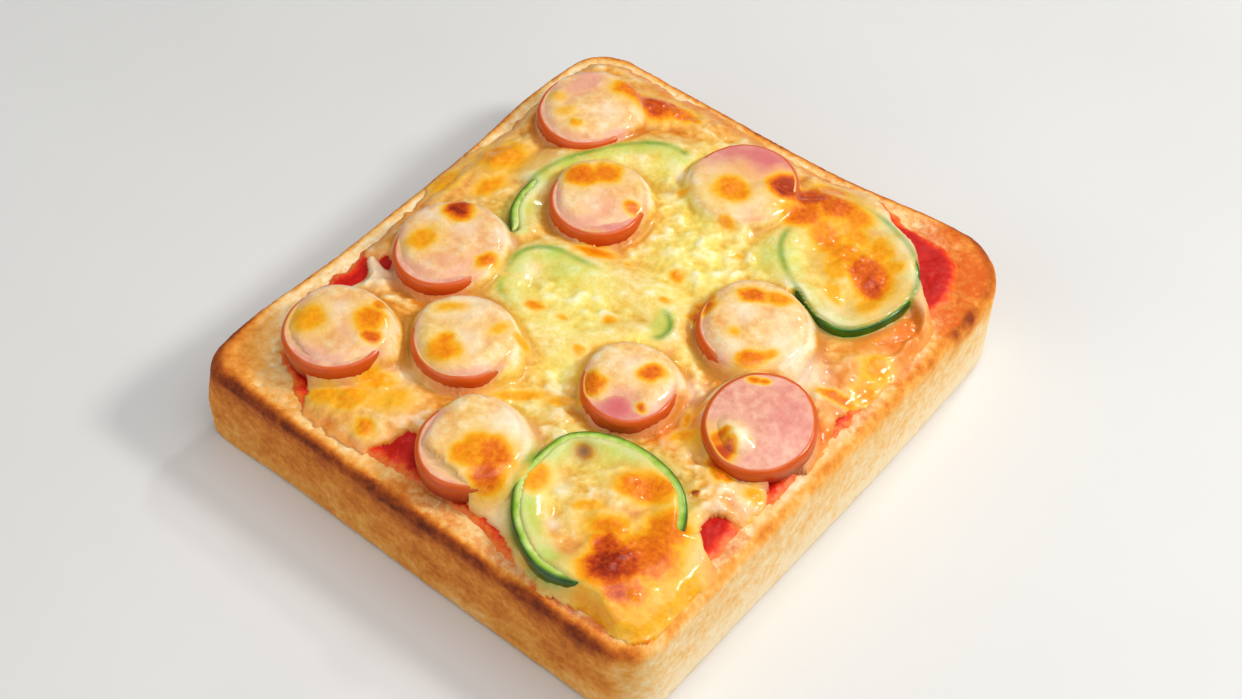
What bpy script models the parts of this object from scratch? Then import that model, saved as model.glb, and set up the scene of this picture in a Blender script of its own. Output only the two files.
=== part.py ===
"""Pizza toast: a thick slice of square white loaf, spread with ketchup and topped with
rounds of sausage, rings of green pepper and melted cheese that browned in the oven.

The slice lies flat on z = 0 with its topping up, and the origin is the middle of its
outline. X runs across the slice and Y along its longer side. Lengths are in metres.
"""
import math

import bmesh
import bpy
from mathutils import Euler, Matrix, Vector, noise

MM = 0.001
OBJECT_NAME = "pizza_toast"
GAP = 0.3 * MM

# The slice of bread
SLICE_WIDTH = 122.5 * MM
SLICE_DEPTH = 137.5 * MM
SLICE_THICKNESS = 24.0 * MM
CORNER_RADII = {(-1, -1): 7.0 * MM, (1, -1): 10.0 * MM, (1, 1): 15.0 * MM, (-1, 1): 12.0 * MM}
RIDGE_ROUNDING = 2.6 * MM
BASE_ROUNDING = 1.8 * MM
SMALLEST_CORNER = 4.0 * MM
CRUST_RELIEF = 0.35 * MM
CRUST_GRAIN = 9.0 * MM
CRUST_BAND = 0.15
SLICE_COLUMNS, SLICE_ROWS, SIDE_CUTS = 22, 24, 5

# Each side of the loaf was pressed in by its tin except near its bulges:
# side normal: how far it is pressed in, then where each bulge is along the side and its half width
SIDE_WAISTS = {
    (-1, 0): (1.6 * MM, ((41.0 * MM, 17.0 * MM), (-52.0 * MM, 15.0 * MM))),
    (1, 0): (1.2 * MM, ((20.0 * MM, 48.0 * MM),)),
    (0, -1): (0.6 * MM, ((-10.0 * MM, 50.0 * MM),)),
    (0, 1): (3.8 * MM, ((44.0 * MM, 22.0 * MM),)),
}

# One corner leans out below its ridge, as far as the walls of the tin let it
LEANING_CORNER = Vector((-SLICE_WIDTH / 2, -SLICE_DEPTH / 2))
LEAN_OUT = 2.4 * MM
LEAN_REACH = 15.0 * MM
LEAN_TOP, LEAN_FULL = 23.0 * MM, 12.0 * MM

# The sauce spread on the slice
SAUCE_MARGIN = 6.0 * MM
SAUCE_THICKNESS = 0.9 * MM
SAUCE_RIPPLE = 0.15 * MM
SAUCE_GRAIN = 7.0 * MM
SAUCE_EDGE_DROP = 0.35 * MM
SAUCE_WOBBLE, SAUCE_WOBBLE_LENGTH = 1.6 * MM, 14.0 * MM
SAUCE_COLUMNS, SAUCE_ROWS = 14, 16
SAUCE_BASE = SLICE_THICKNESS + GAP
TOPPING_BASE = SAUCE_BASE + SAUCE_THICKNESS + GAP

# Sausage rounds: name, centre x, centre y, diameter across, diameter along the slice,
# thickness, tilt about X in degrees, tilt about Y in degrees
SAUSAGES = (
    ("sausage_1", -41.2, 38.4, 24.2, 24.6, 6.2, 2.0, 1.0),
    ("sausage_2", -20.0, 16.6, 22.6, 22.0, 7.4, 3.0, 2.0),
    ("sausage_3", -36.7, -14.3, 24.4, 25.4, 6.4, 3.0, -2.0),
    ("sausage_4", 1.3, 42.8, 24.8, 25.6, 6.0, 1.0, 1.5),
    ("sausage_5", -38.4, -47.3, 24.2, 22.2, 6.8, 4.0, -2.0),
    ("sausage_6", -16.0, -32.2, 23.0, 21.8, 6.8, 2.5, 1.0),
    ("sausage_7", 28.4, 9.3, 24.6, 23.6, 6.6, 2.0, 1.0),
    ("sausage_8", 18.4, -19.6, 20.8, 20.0, 6.8, 3.0, 1.5),
    ("sausage_9", 45.2, -10.2, 23.4, 24.8, 6.2, 7.0, 5.0),
    ("sausage_10", 3.4, -51.6, 22.2, 22.6, 6.8, 3.0, 1.0),
)
SAUSAGE_STEPS = 24
CASING_ROUNDING = 1.3 * MM
CUT_FACE_DOME = 0.7 * MM

# Pepper rings: the points that the outer skin of each passes, clockwise from above, in mm
PEPPER_WALL = 2.6 * MM
PEPPER_HEIGHT = 4.0 * MM
PEPPER_ROUNDING = 0.6 * MM
PEPPER_RINGS = {
    "pepper_front": (
        (14.4, -44.6), (15.6, -35.6), (22.6, -30.2), (32.0, -28.6), (42.4, -31.4),
        (49.0, -40.0), (48.6, -52.6), (42.0, -61.2), (32.0, -64.2), (21.6, -59.4), (15.6, -51.8),
    ),
    "pepper_right": (
        (16.8, 42.4), (21.0, 50.8), (29.0, 54.4), (39.4, 51.6), (46.4, 46.4), (49.4, 38.6),
        (48.2, 29.6), (43.6, 22.4), (36.6, 21.2), (29.6, 24.2), (22.8, 28.2), (17.6, 34.0),
    ),
    "pepper_centre": (
        (-20.6, -15.8), (-23.6, -10.0), (-24.2, -4.0), (-19.4, 1.0), (-11.4, 2.2), (-2.0, 3.4),
        (7.4, 3.6), (14.0, 0.4), (15.0, -4.6), (8.4, -9.6), (2.6, -16.6), (-6.6, -18.6), (-14.4, -18.4),
    ),
}
PEPPER_ARCS = {
    "pepper_back": (
        (-30.6, -0.6), (-35.4, 4.6), (-37.4, 12.6), (-36.4, 21.6), (-32.6, 29.4),
        (-26.8, 37.4), (-20.6, 41.8), (-15.4, 42.6),
    ),
}

# The melted cheese
CHEESE_MARGIN = 4.6 * MM
CHEESE_THICKNESS = 2.2 * MM
CHEESE_EDGE = 1.0 * MM
CHEESE_COLUMNS, CHEESE_ROWS = 32, 35
CHEESE_RIPPLE = 0.5 * MM
CHEESE_GRAIN = 11.0 * MM
CHEESE_COLLAR = 2.2 * MM
COLLAR_REACH = 3.2 * MM
BRIDGE_COVER = 1.1 * MM
BRIDGE_REACH = 4.4 * MM
CHEESE_WOBBLE, CHEESE_WOBBLE_LENGTH = 1.4 * MM, 10.0 * MM
CHEESE_EDGE_BAND = 0.10

# Where the cheese drew back from the edge and bared the sauce:
# direction from the middle in degrees, half width in degrees, depth in mm
CHEESE_BAYS = (
    (47.0, 7.0, 11.0), (-151.0, 5.0, 7.5), (-128.0, 5.0, 5.0), (-101.0, 8.0, 6.5),
    (-32.0, 4.0, 6.5), (-13.0, 4.0, 3.5), (-62.0, 5.0, 2.0), (150.0, 5.0, 1.5),
)

# Where the cheese lies thick, or rose in a blister: x, y, radius and height in mm
CHEESE_MOUNDS = (
    (-4.0, -7.0, 11.0, 2.6), (-14.0, -9.0, 6.0, 1.0), (8.0, 22.0, 12.0, 1.8), (-4.0, 26.0, 9.0, 1.6),
    (34.0, 37.0, 12.0, 2.0), (38.5, 37.5, 5.5, 1.4), (19.0, 49.5, 6.5, 2.6), (15.0, 45.0, 5.0, 1.4),
    (32.0, -43.0, 11.0, 2.2), (43.0, -54.0, 7.0, 2.2), (33.0, -37.0, 5.0, 0.8), (-32.5, 51.5, 6.5, 2.0),
    (-47.5, 14.5, 6.0, 1.8), (-26.0, -57.5, 8.0, 1.0), (45.0, -22.5, 5.0, 2.0), (53.0, 15.0, 7.0, 1.0),
    (54.0, -50.0, 7.0, 1.4), (-52.0, 34.0, 5.0, 1.0), (10.0, -33.0, 6.0, 1.2), (-22.0, 54.0, 6.0, 1.2),
)

# Where the cheese lies over the front, right, centre and back pepper: x and y in mm
CHEESE_BRIDGES = (
    (48.0, -43.0), (48.5, -49.0), (46.5, -56.0),
    (19.0, 47.0), (24.0, 51.5), (31.0, 52.0),
    (-7.0, -17.0), (2.0, -14.5), (2.0, 2.0), (8.0, -8.0),
    (-19.0, 41.0), (-33.0, 2.0),
)

LOOKS = {
    "bread": ((0.66, 0.36, 0.13), 0.85),
    "ketchup": ((0.62, 0.04, 0.01), 0.25),
    "cheese": ((0.88, 0.58, 0.17), 0.35),
    "sausage": ((0.76, 0.31, 0.22), 0.35),
    "green_pepper": ((0.20, 0.42, 0.05), 0.30),
}


def clear_scene():
    for item in list(bpy.data.objects):
        bpy.data.objects.remove(item, do_unlink=True)


def new_collection(name):
    collection = bpy.data.collections.new(name)
    bpy.context.scene.collection.children.link(collection)
    return collection


def make_material(name):
    color, roughness = LOOKS[name]
    material = bpy.data.materials.new(name)
    material.use_nodes = True
    shader = material.node_tree.nodes["Principled BSDF"]
    shader.inputs["Base Color"].default_value = (*color, 1.0)
    shader.inputs["Roughness"].default_value = roughness
    shader.inputs["Metallic"].default_value = 0.0
    return material


def place(mesh, name, collection, material):
    piece = bpy.data.objects.new(name, mesh)
    mesh.materials.clear()
    mesh.materials.append(material)
    mesh.shade_smooth()
    mesh.set_sharp_from_angle(angle=math.radians(50))
    collection.objects.link(piece)
    return piece


def make_cutter(mesh, name, collection):
    cutter = bpy.data.objects.new(name, mesh)
    cutter.hide_render = True
    cutter.display_type = "WIRE"
    collection.objects.link(cutter)


def side_waist(normal, along):
    """How far the side with this normal is pressed in at a place along it."""
    depth, bulges = SIDE_WAISTS[normal]
    return depth * (1.0 - sum(math.exp(-((along - bulge) / half_width) ** 2) for bulge, half_width in bulges))


def slice_outline(u, v, margin=0.0):
    """Take a point on the edge of the square -1..1 to the slice's outline, drawn in by a margin."""
    x = u * (SLICE_WIDTH / 2 - margin)
    y = v * (SLICE_DEPTH / 2 - margin)
    side_x, side_y = (1 if x > 0 else -1), (1 if y > 0 else -1)
    radius = max(CORNER_RADII[(side_x, side_y)] - margin / 2, SMALLEST_CORNER)
    centre = Vector((side_x * (SLICE_WIDTH / 2 - margin - radius), side_y * (SLICE_DEPTH / 2 - margin - radius)))
    point = Vector((x, y))
    beyond = Vector(((point.x - centre.x) * side_x, (point.y - centre.y) * side_y))
    if beyond.x > 0 and beyond.y > 0:
        point = centre + (point - centre).normalized() * radius
    share_x = abs(point.x) / (SLICE_WIDTH / 2)
    share_y = abs(point.y) / (SLICE_DEPTH / 2)
    point.x -= side_x * side_waist((side_x, 0), point.y) * share_x ** 4
    point.y -= side_y * side_waist((0, side_y), point.x) * share_y ** 4
    return point


def mapped_slab(columns, rows, outline, top, base):
    """A grid drawn out to an outline, with a relief on top, a thickness below and closed sides."""
    bm = bmesh.new()
    bmesh.ops.create_grid(bm, x_segments=columns, y_segments=rows, size=1.0)
    bmesh.ops.extrude_face_region(bm, geom=bm.faces[:])
    bmesh.ops.recalc_face_normals(bm, faces=bm.faces[:])
    upper = {vert for face in bm.faces if face.normal.z > 0.5 for vert in face.verts}
    for vert in bm.verts:
        u, v = vert.co.x, vert.co.y
        reach = max(abs(u), abs(v))
        if reach > 0:
            edge = outline(u / reach, v / reach)
            place_in_plan = edge * reach
        else:
            place_in_plan = Vector((0.0, 0.0))
        height = top if vert in upper else base
        vert.co = (place_in_plan.x, place_in_plan.y, height(place_in_plan.x, place_in_plan.y, reach))
    return bm


def crumb_top(x, y, reach):
    """The cut face of the crumb is flat under the sauce and slightly uneven near the crust."""
    uneven = noise.noise(Vector((x, y, 0.0)) / CRUST_GRAIN)
    near_crust = max(0.0, reach - 1.0 + CRUST_BAND) / CRUST_BAND
    return SLICE_THICKNESS - CRUST_RELIEF * (0.5 + 0.5 * uneven) * near_crust


def make_bread(collection, material):
    bm = mapped_slab(SLICE_COLUMNS, SLICE_ROWS, slice_outline, crumb_top, lambda x, y, reach: 0.0)
    uprights = [edge for edge in bm.edges if abs(edge.verts[0].co.z - edge.verts[1].co.z) > SLICE_THICKNESS / 2]
    bmesh.ops.subdivide_edges(bm, edges=uprights, cuts=SIDE_CUTS, use_grid_fill=True)
    rims = {vert for edge in bm.edges for vert in edge.verts if is_side_vert(vert)}
    spacing = SLICE_THICKNESS / (SIDE_CUTS + 1)
    for vert in rims:
        level = round(vert.co.z / spacing)
        outward = Vector((vert.co.x, vert.co.y, 0.0)).normalized()
        vert.co.z, inset = side_profile(level)
        relief = noise.noise(vert.co / CRUST_GRAIN) * CRUST_RELIEF
        if 0 < level < SIDE_CUTS + 1:
            vert.co += outward * (relief - CRUST_RELIEF)
        vert.co -= outward * inset
        lean_out(vert.co)
    flatten_base(bm)
    mesh = bpy.data.meshes.new("bread")
    bm.to_mesh(mesh)
    bm.free()
    return place(mesh, "bread", collection, material)


def lean_out(point):
    """Push a point of the crust out where the corner leans, no further than the walls of the tin."""
    from_corner = Vector((point.x, point.y)) - LEANING_CORNER
    depth_share = min(1.0, max(0.0, (LEAN_TOP - point.z) / (LEAN_TOP - LEAN_FULL)))
    push = LEAN_OUT * depth_share * math.exp(-(from_corner.length / LEAN_REACH) ** 2)
    direction = LEANING_CORNER.normalized()
    wall_x, wall_y = min(point.x, LEANING_CORNER.x), min(point.y, LEANING_CORNER.y)
    point.x = max(point.x + direction.x * push, wall_x)
    point.y = max(point.y + direction.y * push, wall_y)


def is_side_vert(vert):
    return any(abs(face.normal.z) < 0.5 for face in vert.link_faces)


def side_profile(level):
    """Height and inset of each row of points round the crust, from the base up to the ridge."""
    corner = 1.0 - math.sqrt(0.5)
    rows = (
        (0.0, BASE_ROUNDING),
        (BASE_ROUNDING, 0.0),
        (SLICE_THICKNESS * 0.36, 0.0),
        (SLICE_THICKNESS * 0.64, 0.0),
        (SLICE_THICKNESS - RIDGE_ROUNDING, 0.0),
        (SLICE_THICKNESS - RIDGE_ROUNDING * corner, RIDGE_ROUNDING * corner),
        (SLICE_THICKNESS, RIDGE_ROUNDING),
    )
    return rows[level]


def sauce_outline(u, v):
    edge = slice_outline(u, v, SAUCE_MARGIN)
    wobble = noise.noise(Vector((edge.x, edge.y, 0.0)) / SAUCE_WOBBLE_LENGTH) * SAUCE_WOBBLE
    return edge + edge.normalized() * wobble


def make_ketchup(collection, material):
    def top(x, y, reach):
        ripple = noise.noise(Vector((x, y, 0.0)) / SAUCE_GRAIN) - 1.0
        lowered = SAUCE_EDGE_DROP if reach > 0.99 else 0.0
        return SAUCE_BASE + SAUCE_THICKNESS + SAUCE_RIPPLE * ripple - lowered

    bm = mapped_slab(SAUCE_COLUMNS, SAUCE_ROWS, sauce_outline, top, lambda x, y, reach: SAUCE_BASE)
    flatten_base(bm)
    mesh = bpy.data.meshes.new("ketchup")
    bm.to_mesh(mesh)
    bm.free()
    return place(mesh, "ketchup", collection, material)


def flatten_base(bm):
    """Join the level faces underneath into a few large ones."""
    below = [face for face in bm.faces if face.normal.z < -0.9]
    joined = bmesh.ops.dissolve_faces(bm, faces=below)["region"]
    bmesh.ops.triangulate(bm, faces=joined)


def turned_round(diameter_x, diameter_y, thickness, grow=0.0, headroom=0.0):
    """A slice of sausage: a profile turned about Z, with a rounded casing and domed cut faces."""
    half = thickness / 2 + grow
    rounding = CASING_ROUNDING
    dome = CUT_FACE_DOME
    corner = 1.0 - math.sqrt(0.5)
    profile = (
        (0.0, half + headroom),
        (0.6, half - 0.3 * dome + headroom),
        (1.0 - 2.0 * rounding / diameter_x, half - dome + headroom),
        (1.0 - 2.0 * rounding * corner / diameter_x, half - dome - rounding * corner),
        (1.0, half - dome - rounding),
        (1.0, -half + rounding),
        (1.0 - 2.0 * rounding / diameter_x, -half),
        (0.0, -half),
    )
    mesh = bpy.data.meshes.new("profile")
    points = [(share * (diameter_x / 2 + grow), 0.0, z) for share, z in profile]
    mesh.from_pydata(points, [(i, i + 1) for i in range(len(points) - 1)], [])
    turned = bpy.data.objects.new("profile", mesh)
    bpy.context.scene.collection.objects.link(turned)
    screw = turned.modifiers.new("turn", "SCREW")
    screw.steps = screw.render_steps = SAUSAGE_STEPS
    screw.use_merge_vertices = True
    screw.merge_threshold = 0.00005
    result = welded(evaluated_mesh(turned))
    stretch = (diameter_y / 2 + grow) / (diameter_x / 2 + grow)
    result.transform(Matrix.Diagonal((1.0, stretch, 1.0, 1.0)))
    return result


def evaluated_mesh(item):
    """The finished mesh of an object with modifiers or of a curve, with the object removed."""
    depsgraph = bpy.context.evaluated_depsgraph_get()
    depsgraph.update()
    mesh = bpy.data.meshes.new_from_object(item.evaluated_get(depsgraph))
    bpy.data.objects.remove(item, do_unlink=True)
    return mesh


def welded(mesh):
    """Close a turned or extruded mesh where its points meet."""
    bm = bmesh.new()
    bm.from_mesh(mesh)
    bmesh.ops.remove_doubles(bm, verts=bm.verts[:], dist=0.00001)
    bmesh.ops.recalc_face_normals(bm, faces=bm.faces[:])
    bm.to_mesh(mesh)
    bm.free()
    return mesh


def sausage_pose(entry):
    """Where a round lies: its lowest point rests just above the sauce."""
    _, x, y, across, along, thickness, tilt_x, tilt_y = entry
    turn = Euler((math.radians(tilt_x), math.radians(tilt_y), 0.0)).to_matrix()
    sink = math.hypot(turn[2][0] * across / 2, turn[2][1] * along / 2) + turn[2][2] * thickness / 2
    height = TOPPING_BASE + sink * MM - CASING_ROUNDING * math.sin(math.radians(abs(tilt_x)))
    return Matrix.Translation((x * MM, y * MM, height)) @ turn.to_4x4()


def make_sausage(entry, collection, cutters, material):
    name, _, _, across, along, thickness, _, _ = entry
    pose = sausage_pose(entry)
    mesh = turned_round(across * MM, along * MM, thickness * MM)
    mesh.name = name
    mesh.transform(pose)
    pocket = turned_round(across * MM, along * MM, thickness * MM, grow=GAP, headroom=6.0 * MM)
    pocket.transform(pose)
    make_cutter(pocket, name + "_pocket", cutters)
    return place(mesh, name, collection, material)


def smooth_path(points, closed, steps):
    """Points on a smooth curve through the given ones."""
    count = len(points)
    path = []
    spans = count if closed else count - 1
    for span in range(spans):
        before, start, end, after = (points[wrap(span + k, count, closed)] for k in (-1, 0, 1, 2))
        for step in range(steps):
            t = step / steps
            path.append(catmull_rom(before, start, end, after, t))
    if not closed:
        path.append(points[-1])
    return path


def wrap(index, count, closed):
    return index % count if closed else min(max(index, 0), count - 1)


def catmull_rom(before, start, end, after, t):
    return 0.5 * (
        2 * start + (end - before) * t
        + (2 * before - 5 * start + 4 * end - after) * t ** 2
        + (3 * start - before - 3 * end + after) * t ** 3
    )


def offset_path(path, distance, closed):
    """The path moved sideways, to its right as it runs."""
    moved = []
    for i, point in enumerate(path):
        ahead = path[wrap(i + 1, len(path), closed)]
        behind = path[wrap(i - 1, len(path), closed)]
        along = (ahead - behind).normalized()
        moved.append(point + Vector((along.y, -along.x)) * distance)
    return moved


def pepper_band(points, closed, grow=0.0):
    """A band of pepper flesh: the space between its outer skin and its inner side, extruded."""
    outer = smooth_path([Vector(p) * MM for p in points], closed, 2)
    skin = offset_path(outer, -grow, closed)
    inner = offset_path(outer, PEPPER_WALL + grow, closed)
    curve = bpy.data.curves.new("pepper", "CURVE")
    curve.dimensions = "2D"
    curve.fill_mode = "BOTH"
    if closed:
        loops = (skin, inner)
    else:
        loops = (skin + inner[::-1],)
    for loop in loops:
        spline = curve.splines.new("POLY")
        spline.points.add(len(loop) - 1)
        for target, point in zip(spline.points, loop):
            target.co = (point.x, point.y, 0.0, 1.0)
        spline.use_cyclic_u = True
    curve.offset = -PEPPER_ROUNDING
    curve.bevel_depth = PEPPER_ROUNDING
    curve.bevel_resolution = 0
    curve.extrude = PEPPER_HEIGHT / 2 + grow - PEPPER_ROUNDING
    band = bpy.data.objects.new("pepper", curve)
    bpy.context.scene.collection.objects.link(band)
    mesh = welded(evaluated_mesh(band))
    mesh.transform(Matrix.Translation((0.0, 0.0, TOPPING_BASE + PEPPER_HEIGHT / 2)))
    return mesh


def make_pepper(name, points, closed, collection, cutters, material):
    mesh = pepper_band(points, closed)
    mesh.name = name
    make_cutter(pepper_band(points, closed, grow=GAP), name + "_pocket", cutters)
    return place(mesh, name, collection, material)


def cheese_outline(u, v):
    edge = slice_outline(u, v, CHEESE_MARGIN)
    direction = math.degrees(math.atan2(edge.y, edge.x))
    drawn_back = sum(
        depth * MM * math.exp(-((direction - middle) / half_width) ** 2)
        for middle, half_width, depth in CHEESE_BAYS
    )
    wobble = noise.noise(Vector((edge.x, edge.y, 0.0)) / CHEESE_WOBBLE_LENGTH) * CHEESE_WOBBLE
    return edge - edge.normalized() * (drawn_back + wobble)


def cheese_height(x, y, reach):
    """Thickness of the melted cheese at a place: an even coat, mounds, and a climb round each topping."""
    ripple = noise.noise(Vector((x, y, 0.0)) / CHEESE_GRAIN) * CHEESE_RIPPLE
    height = CHEESE_THICKNESS + ripple
    for mound_x, mound_y, radius, rise in CHEESE_MOUNDS:
        distance = math.hypot(x - mound_x * MM, y - mound_y * MM) / (radius * MM)
        height += rise * MM * math.exp(-distance ** 2)
    for _, centre_x, centre_y, across, along, *_ in SAUSAGES:
        from_rim = math.hypot(x - centre_x * MM, y - centre_y * MM) - (across + along) / 4 * MM
        height += CHEESE_COLLAR * math.exp(-(from_rim / COLLAR_REACH) ** 2)
    bridge_height = PEPPER_HEIGHT + GAP + BRIDGE_COVER
    for bridge_x, bridge_y in CHEESE_BRIDGES:
        distance = math.hypot(x - bridge_x * MM, y - bridge_y * MM) / BRIDGE_REACH
        height += max(0.0, bridge_height - height) * math.exp(-distance ** 4)
    edge_share = min(1.0, (1.0 - reach) / CHEESE_EDGE_BAND)
    return TOPPING_BASE + CHEESE_EDGE + (height - CHEESE_EDGE) * edge_share ** 0.6


def make_cheese(collection, cutters, material):
    bm = mapped_slab(CHEESE_COLUMNS, CHEESE_ROWS, cheese_outline, cheese_height, lambda x, y, reach: TOPPING_BASE)
    flatten_base(bm)
    mesh = bpy.data.meshes.new("cheese")
    bm.to_mesh(mesh)
    bm.free()
    coat = bpy.data.objects.new("coat", mesh)
    bpy.context.scene.collection.objects.link(coat)
    pockets = coat.modifiers.new("pockets", "BOOLEAN")
    pockets.operation = "DIFFERENCE"
    pockets.operand_type = "COLLECTION"
    pockets.collection = cutters
    pockets.solver = "EXACT"
    cut = evaluated_mesh(coat)
    drop_scraps(cut)
    cut.name = "cheese"
    return place(cut, "cheese", collection, material)


def drop_scraps(mesh):
    """Keep the largest connected body of a mesh and delete the crumbs that a cut left."""
    bm = bmesh.new()
    bm.from_mesh(mesh)
    left = set(bm.verts)
    bodies = []
    while left:
        start = left.pop()
        body, front = {start}, [start]
        while front:
            for edge in front.pop().link_edges:
                for vert in edge.verts:
                    if vert in left:
                        left.remove(vert)
                        body.add(vert)
                        front.append(vert)
        bodies.append(body)
    bodies.sort(key=len)
    crumbs = [vert for body in bodies[:-1] for vert in body]
    bmesh.ops.delete(bm, geom=crumbs, context="VERTS")
    bm.to_mesh(mesh)
    bm.free()


def main():
    clear_scene()
    toast = new_collection(OBJECT_NAME)
    cutters = new_collection("cutters")
    materials = {name: make_material(name) for name in LOOKS}
    make_bread(toast, materials["bread"])
    make_ketchup(toast, materials["ketchup"])
    for entry in SAUSAGES:
        make_sausage(entry, toast, cutters, materials["sausage"])
    for name, points in PEPPER_RINGS.items():
        make_pepper(name, points, True, toast, cutters, materials["green_pepper"])
    for name, points in PEPPER_ARCS.items():
        make_pepper(name, points, False, toast, cutters, materials["green_pepper"])
    make_cheese(toast, cutters, materials["cheese"])


main()
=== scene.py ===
# %% [markdown]
# This notebook dresses a slice of pizza toast. The solids in the frame hold its true sizes.
# Here every one of them is replaced by a finer mesh of the same form, with a finish that is
# worked out from what the real food is: baked crust, sauce, sausage, pepper and browned cheese.
# The frame is loaded first, because every later piece reads its place from it.

# %% The frame
import math

import bpy
import numpy as np
from mathutils import Euler, Matrix, Vector


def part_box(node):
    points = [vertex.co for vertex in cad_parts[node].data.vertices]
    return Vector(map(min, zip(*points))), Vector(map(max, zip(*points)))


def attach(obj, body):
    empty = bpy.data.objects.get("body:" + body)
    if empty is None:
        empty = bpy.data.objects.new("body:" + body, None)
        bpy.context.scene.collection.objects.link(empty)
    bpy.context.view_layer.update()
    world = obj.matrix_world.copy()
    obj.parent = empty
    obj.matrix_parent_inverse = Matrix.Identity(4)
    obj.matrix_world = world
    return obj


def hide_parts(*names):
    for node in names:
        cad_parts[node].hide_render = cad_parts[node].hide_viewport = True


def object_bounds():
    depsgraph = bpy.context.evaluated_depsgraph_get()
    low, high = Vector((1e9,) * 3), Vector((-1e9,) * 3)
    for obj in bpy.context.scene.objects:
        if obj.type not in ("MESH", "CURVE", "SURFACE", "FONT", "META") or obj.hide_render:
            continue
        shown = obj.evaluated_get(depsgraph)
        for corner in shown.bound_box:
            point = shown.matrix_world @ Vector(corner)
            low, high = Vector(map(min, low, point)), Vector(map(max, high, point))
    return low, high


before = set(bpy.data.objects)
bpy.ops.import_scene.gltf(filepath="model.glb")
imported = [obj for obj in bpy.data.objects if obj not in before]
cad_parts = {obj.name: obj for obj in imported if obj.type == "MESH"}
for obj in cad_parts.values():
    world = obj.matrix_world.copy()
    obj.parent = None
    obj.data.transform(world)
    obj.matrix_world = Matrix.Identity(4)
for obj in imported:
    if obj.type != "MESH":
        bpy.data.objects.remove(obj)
cad_low, cad_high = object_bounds()
MM = 0.001
print("toast box, mm:", [round(side / MM, 1) for side in cad_high - cad_low])

# %% [markdown]
# The photograph was taken from above one corner. A pinhole camera was fitted to the edges of
# the slice, which gave the direction, the distance and the lens that are set here by name.

# %% Camera
PICTURE_WIDTH = 1242
AZIMUTH, ELEVATION, ROLL = (math.radians(angle) for angle in (39.2, 50.1, 0.33))
CAMERA_AIM = Vector((-5.3, 7.1, 0.0)) * MM
CAMERA_DISTANCE = 449.0 * MM
FOCAL_PIXELS = 1960.0
SENSOR_WIDTH = 36.0

level_reach = math.cos(ELEVATION)
back = Vector((math.sin(AZIMUTH) * level_reach, -math.cos(AZIMUTH) * level_reach, math.sin(ELEVATION)))
right = (-back).cross(Vector((0.0, 0.0, 1.0))).normalized()
up = right.cross(-back)
rolled_right = right * math.cos(ROLL) + up * math.sin(ROLL)
rolled_up = up * math.cos(ROLL) - right * math.sin(ROLL)
camera_data = bpy.data.cameras.new("camera")
camera_data.sensor_width = SENSOR_WIDTH
camera_data.lens = SENSOR_WIDTH * FOCAL_PIXELS / PICTURE_WIDTH
camera = bpy.data.objects.new("camera", camera_data)
bpy.context.scene.collection.objects.link(camera)
turn = Matrix((rolled_right, rolled_up, back)).transposed().to_4x4()
camera.matrix_world = Matrix.Translation(CAMERA_AIM + back * CAMERA_DISTANCE) @ turn
bpy.context.scene.camera = camera
print("lens, mm:", round(camera_data.lens, 1))

# %% [markdown]
# Colours are noted as sRGB hex values, as a paint program shows them, and one function turns
# them to the linear values that shaders use. A second small function adds a node with its
# settings and its links.

# %% Colour and node helpers
def linear(hex_colour):
    """An sRGB hex colour as linear red, green, blue and alpha, by the curve of that standard."""
    values = [int(hex_colour[k:k + 2], 16) / 255 for k in (1, 3, 5)]
    return [v / 12.92 if v <= 0.04045 else ((v + 0.055) / 1.055) ** 2.4 for v in values] + [1.0]


def set_inputs(tree, node, links):
    """Give each named input of a node a plain value or another node's output."""
    for name, value in links.items():
        if isinstance(value, bpy.types.NodeSocket):
            tree.links.new(value, node.inputs[name])
        else:
            node.inputs[name].default_value = value


def add_node(tree, kind, settings=None, links=None):
    """Add a node. Settings are its properties or a ramp's stops, links are what its inputs get."""
    node = tree.nodes.new(kind)
    for name, value in (settings or {}).items():
        if name == "stops":
            while len(node.color_ramp.elements) < len(value):
                node.color_ramp.elements.new(1.0)
            for element, (place, hex_colour) in zip(node.color_ramp.elements, value):
                element.position = place
                element.color = linear(hex_colour)
        else:
            setattr(node, name, value)
    set_inputs(tree, node, links or {})
    return node


def new_material(name):
    """A material with an empty tree, its output and its main shader."""
    material = bpy.data.materials.new(name)
    material.use_nodes = True
    tree = material.node_tree
    tree.nodes.clear()
    shader = add_node(tree, "ShaderNodeBsdfPrincipled")
    add_node(tree, "ShaderNodeOutputMaterial", links={"Surface": shader.outputs[0]})
    return material, tree, shader

# %% [markdown]
# Each of these names what one kind of node does, so that a material below reads as a list of
# what it is made of: a pattern at its real size, a value that the mesh carries, a change of
# range, a colour for a value, one colour over another, and a fine relief.

# %% Names for the nodes
def grain(tree, size_mm, detail, roughness=0.5, kind="Noise", output=0):
    """A pattern as large as it is on the real food, in mm."""
    place = add_node(tree, "ShaderNodeTexCoord").outputs["Object"]
    links = {"Vector": place, "Scale": 1 / (size_mm * MM), "Detail": detail, "Roughness": roughness}
    return add_node(tree, "ShaderNodeTex" + kind, links=links).outputs[output]


def carried(tree, label):
    """A value that the points of the mesh carry."""
    return add_node(tree, "ShaderNodeAttribute", {"attribute_name": label}).outputs["Fac"]


def rescale(tree, value, old, new=(0.0, 1.0)):
    """A value moved from one range to another."""
    links = {"Value": value, "From Min": old[0], "From Max": old[1], "To Min": new[0], "To Max": new[1]}
    return add_node(tree, "ShaderNodeMapRange", links=links).outputs[0]


def swing(tree, pattern, reach):
    """A noise, which mostly runs from 0.3 to 0.7, as a shift to both sides of nothing."""
    return rescale(tree, pattern, (0.3, 0.7), (-reach, reach))


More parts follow.
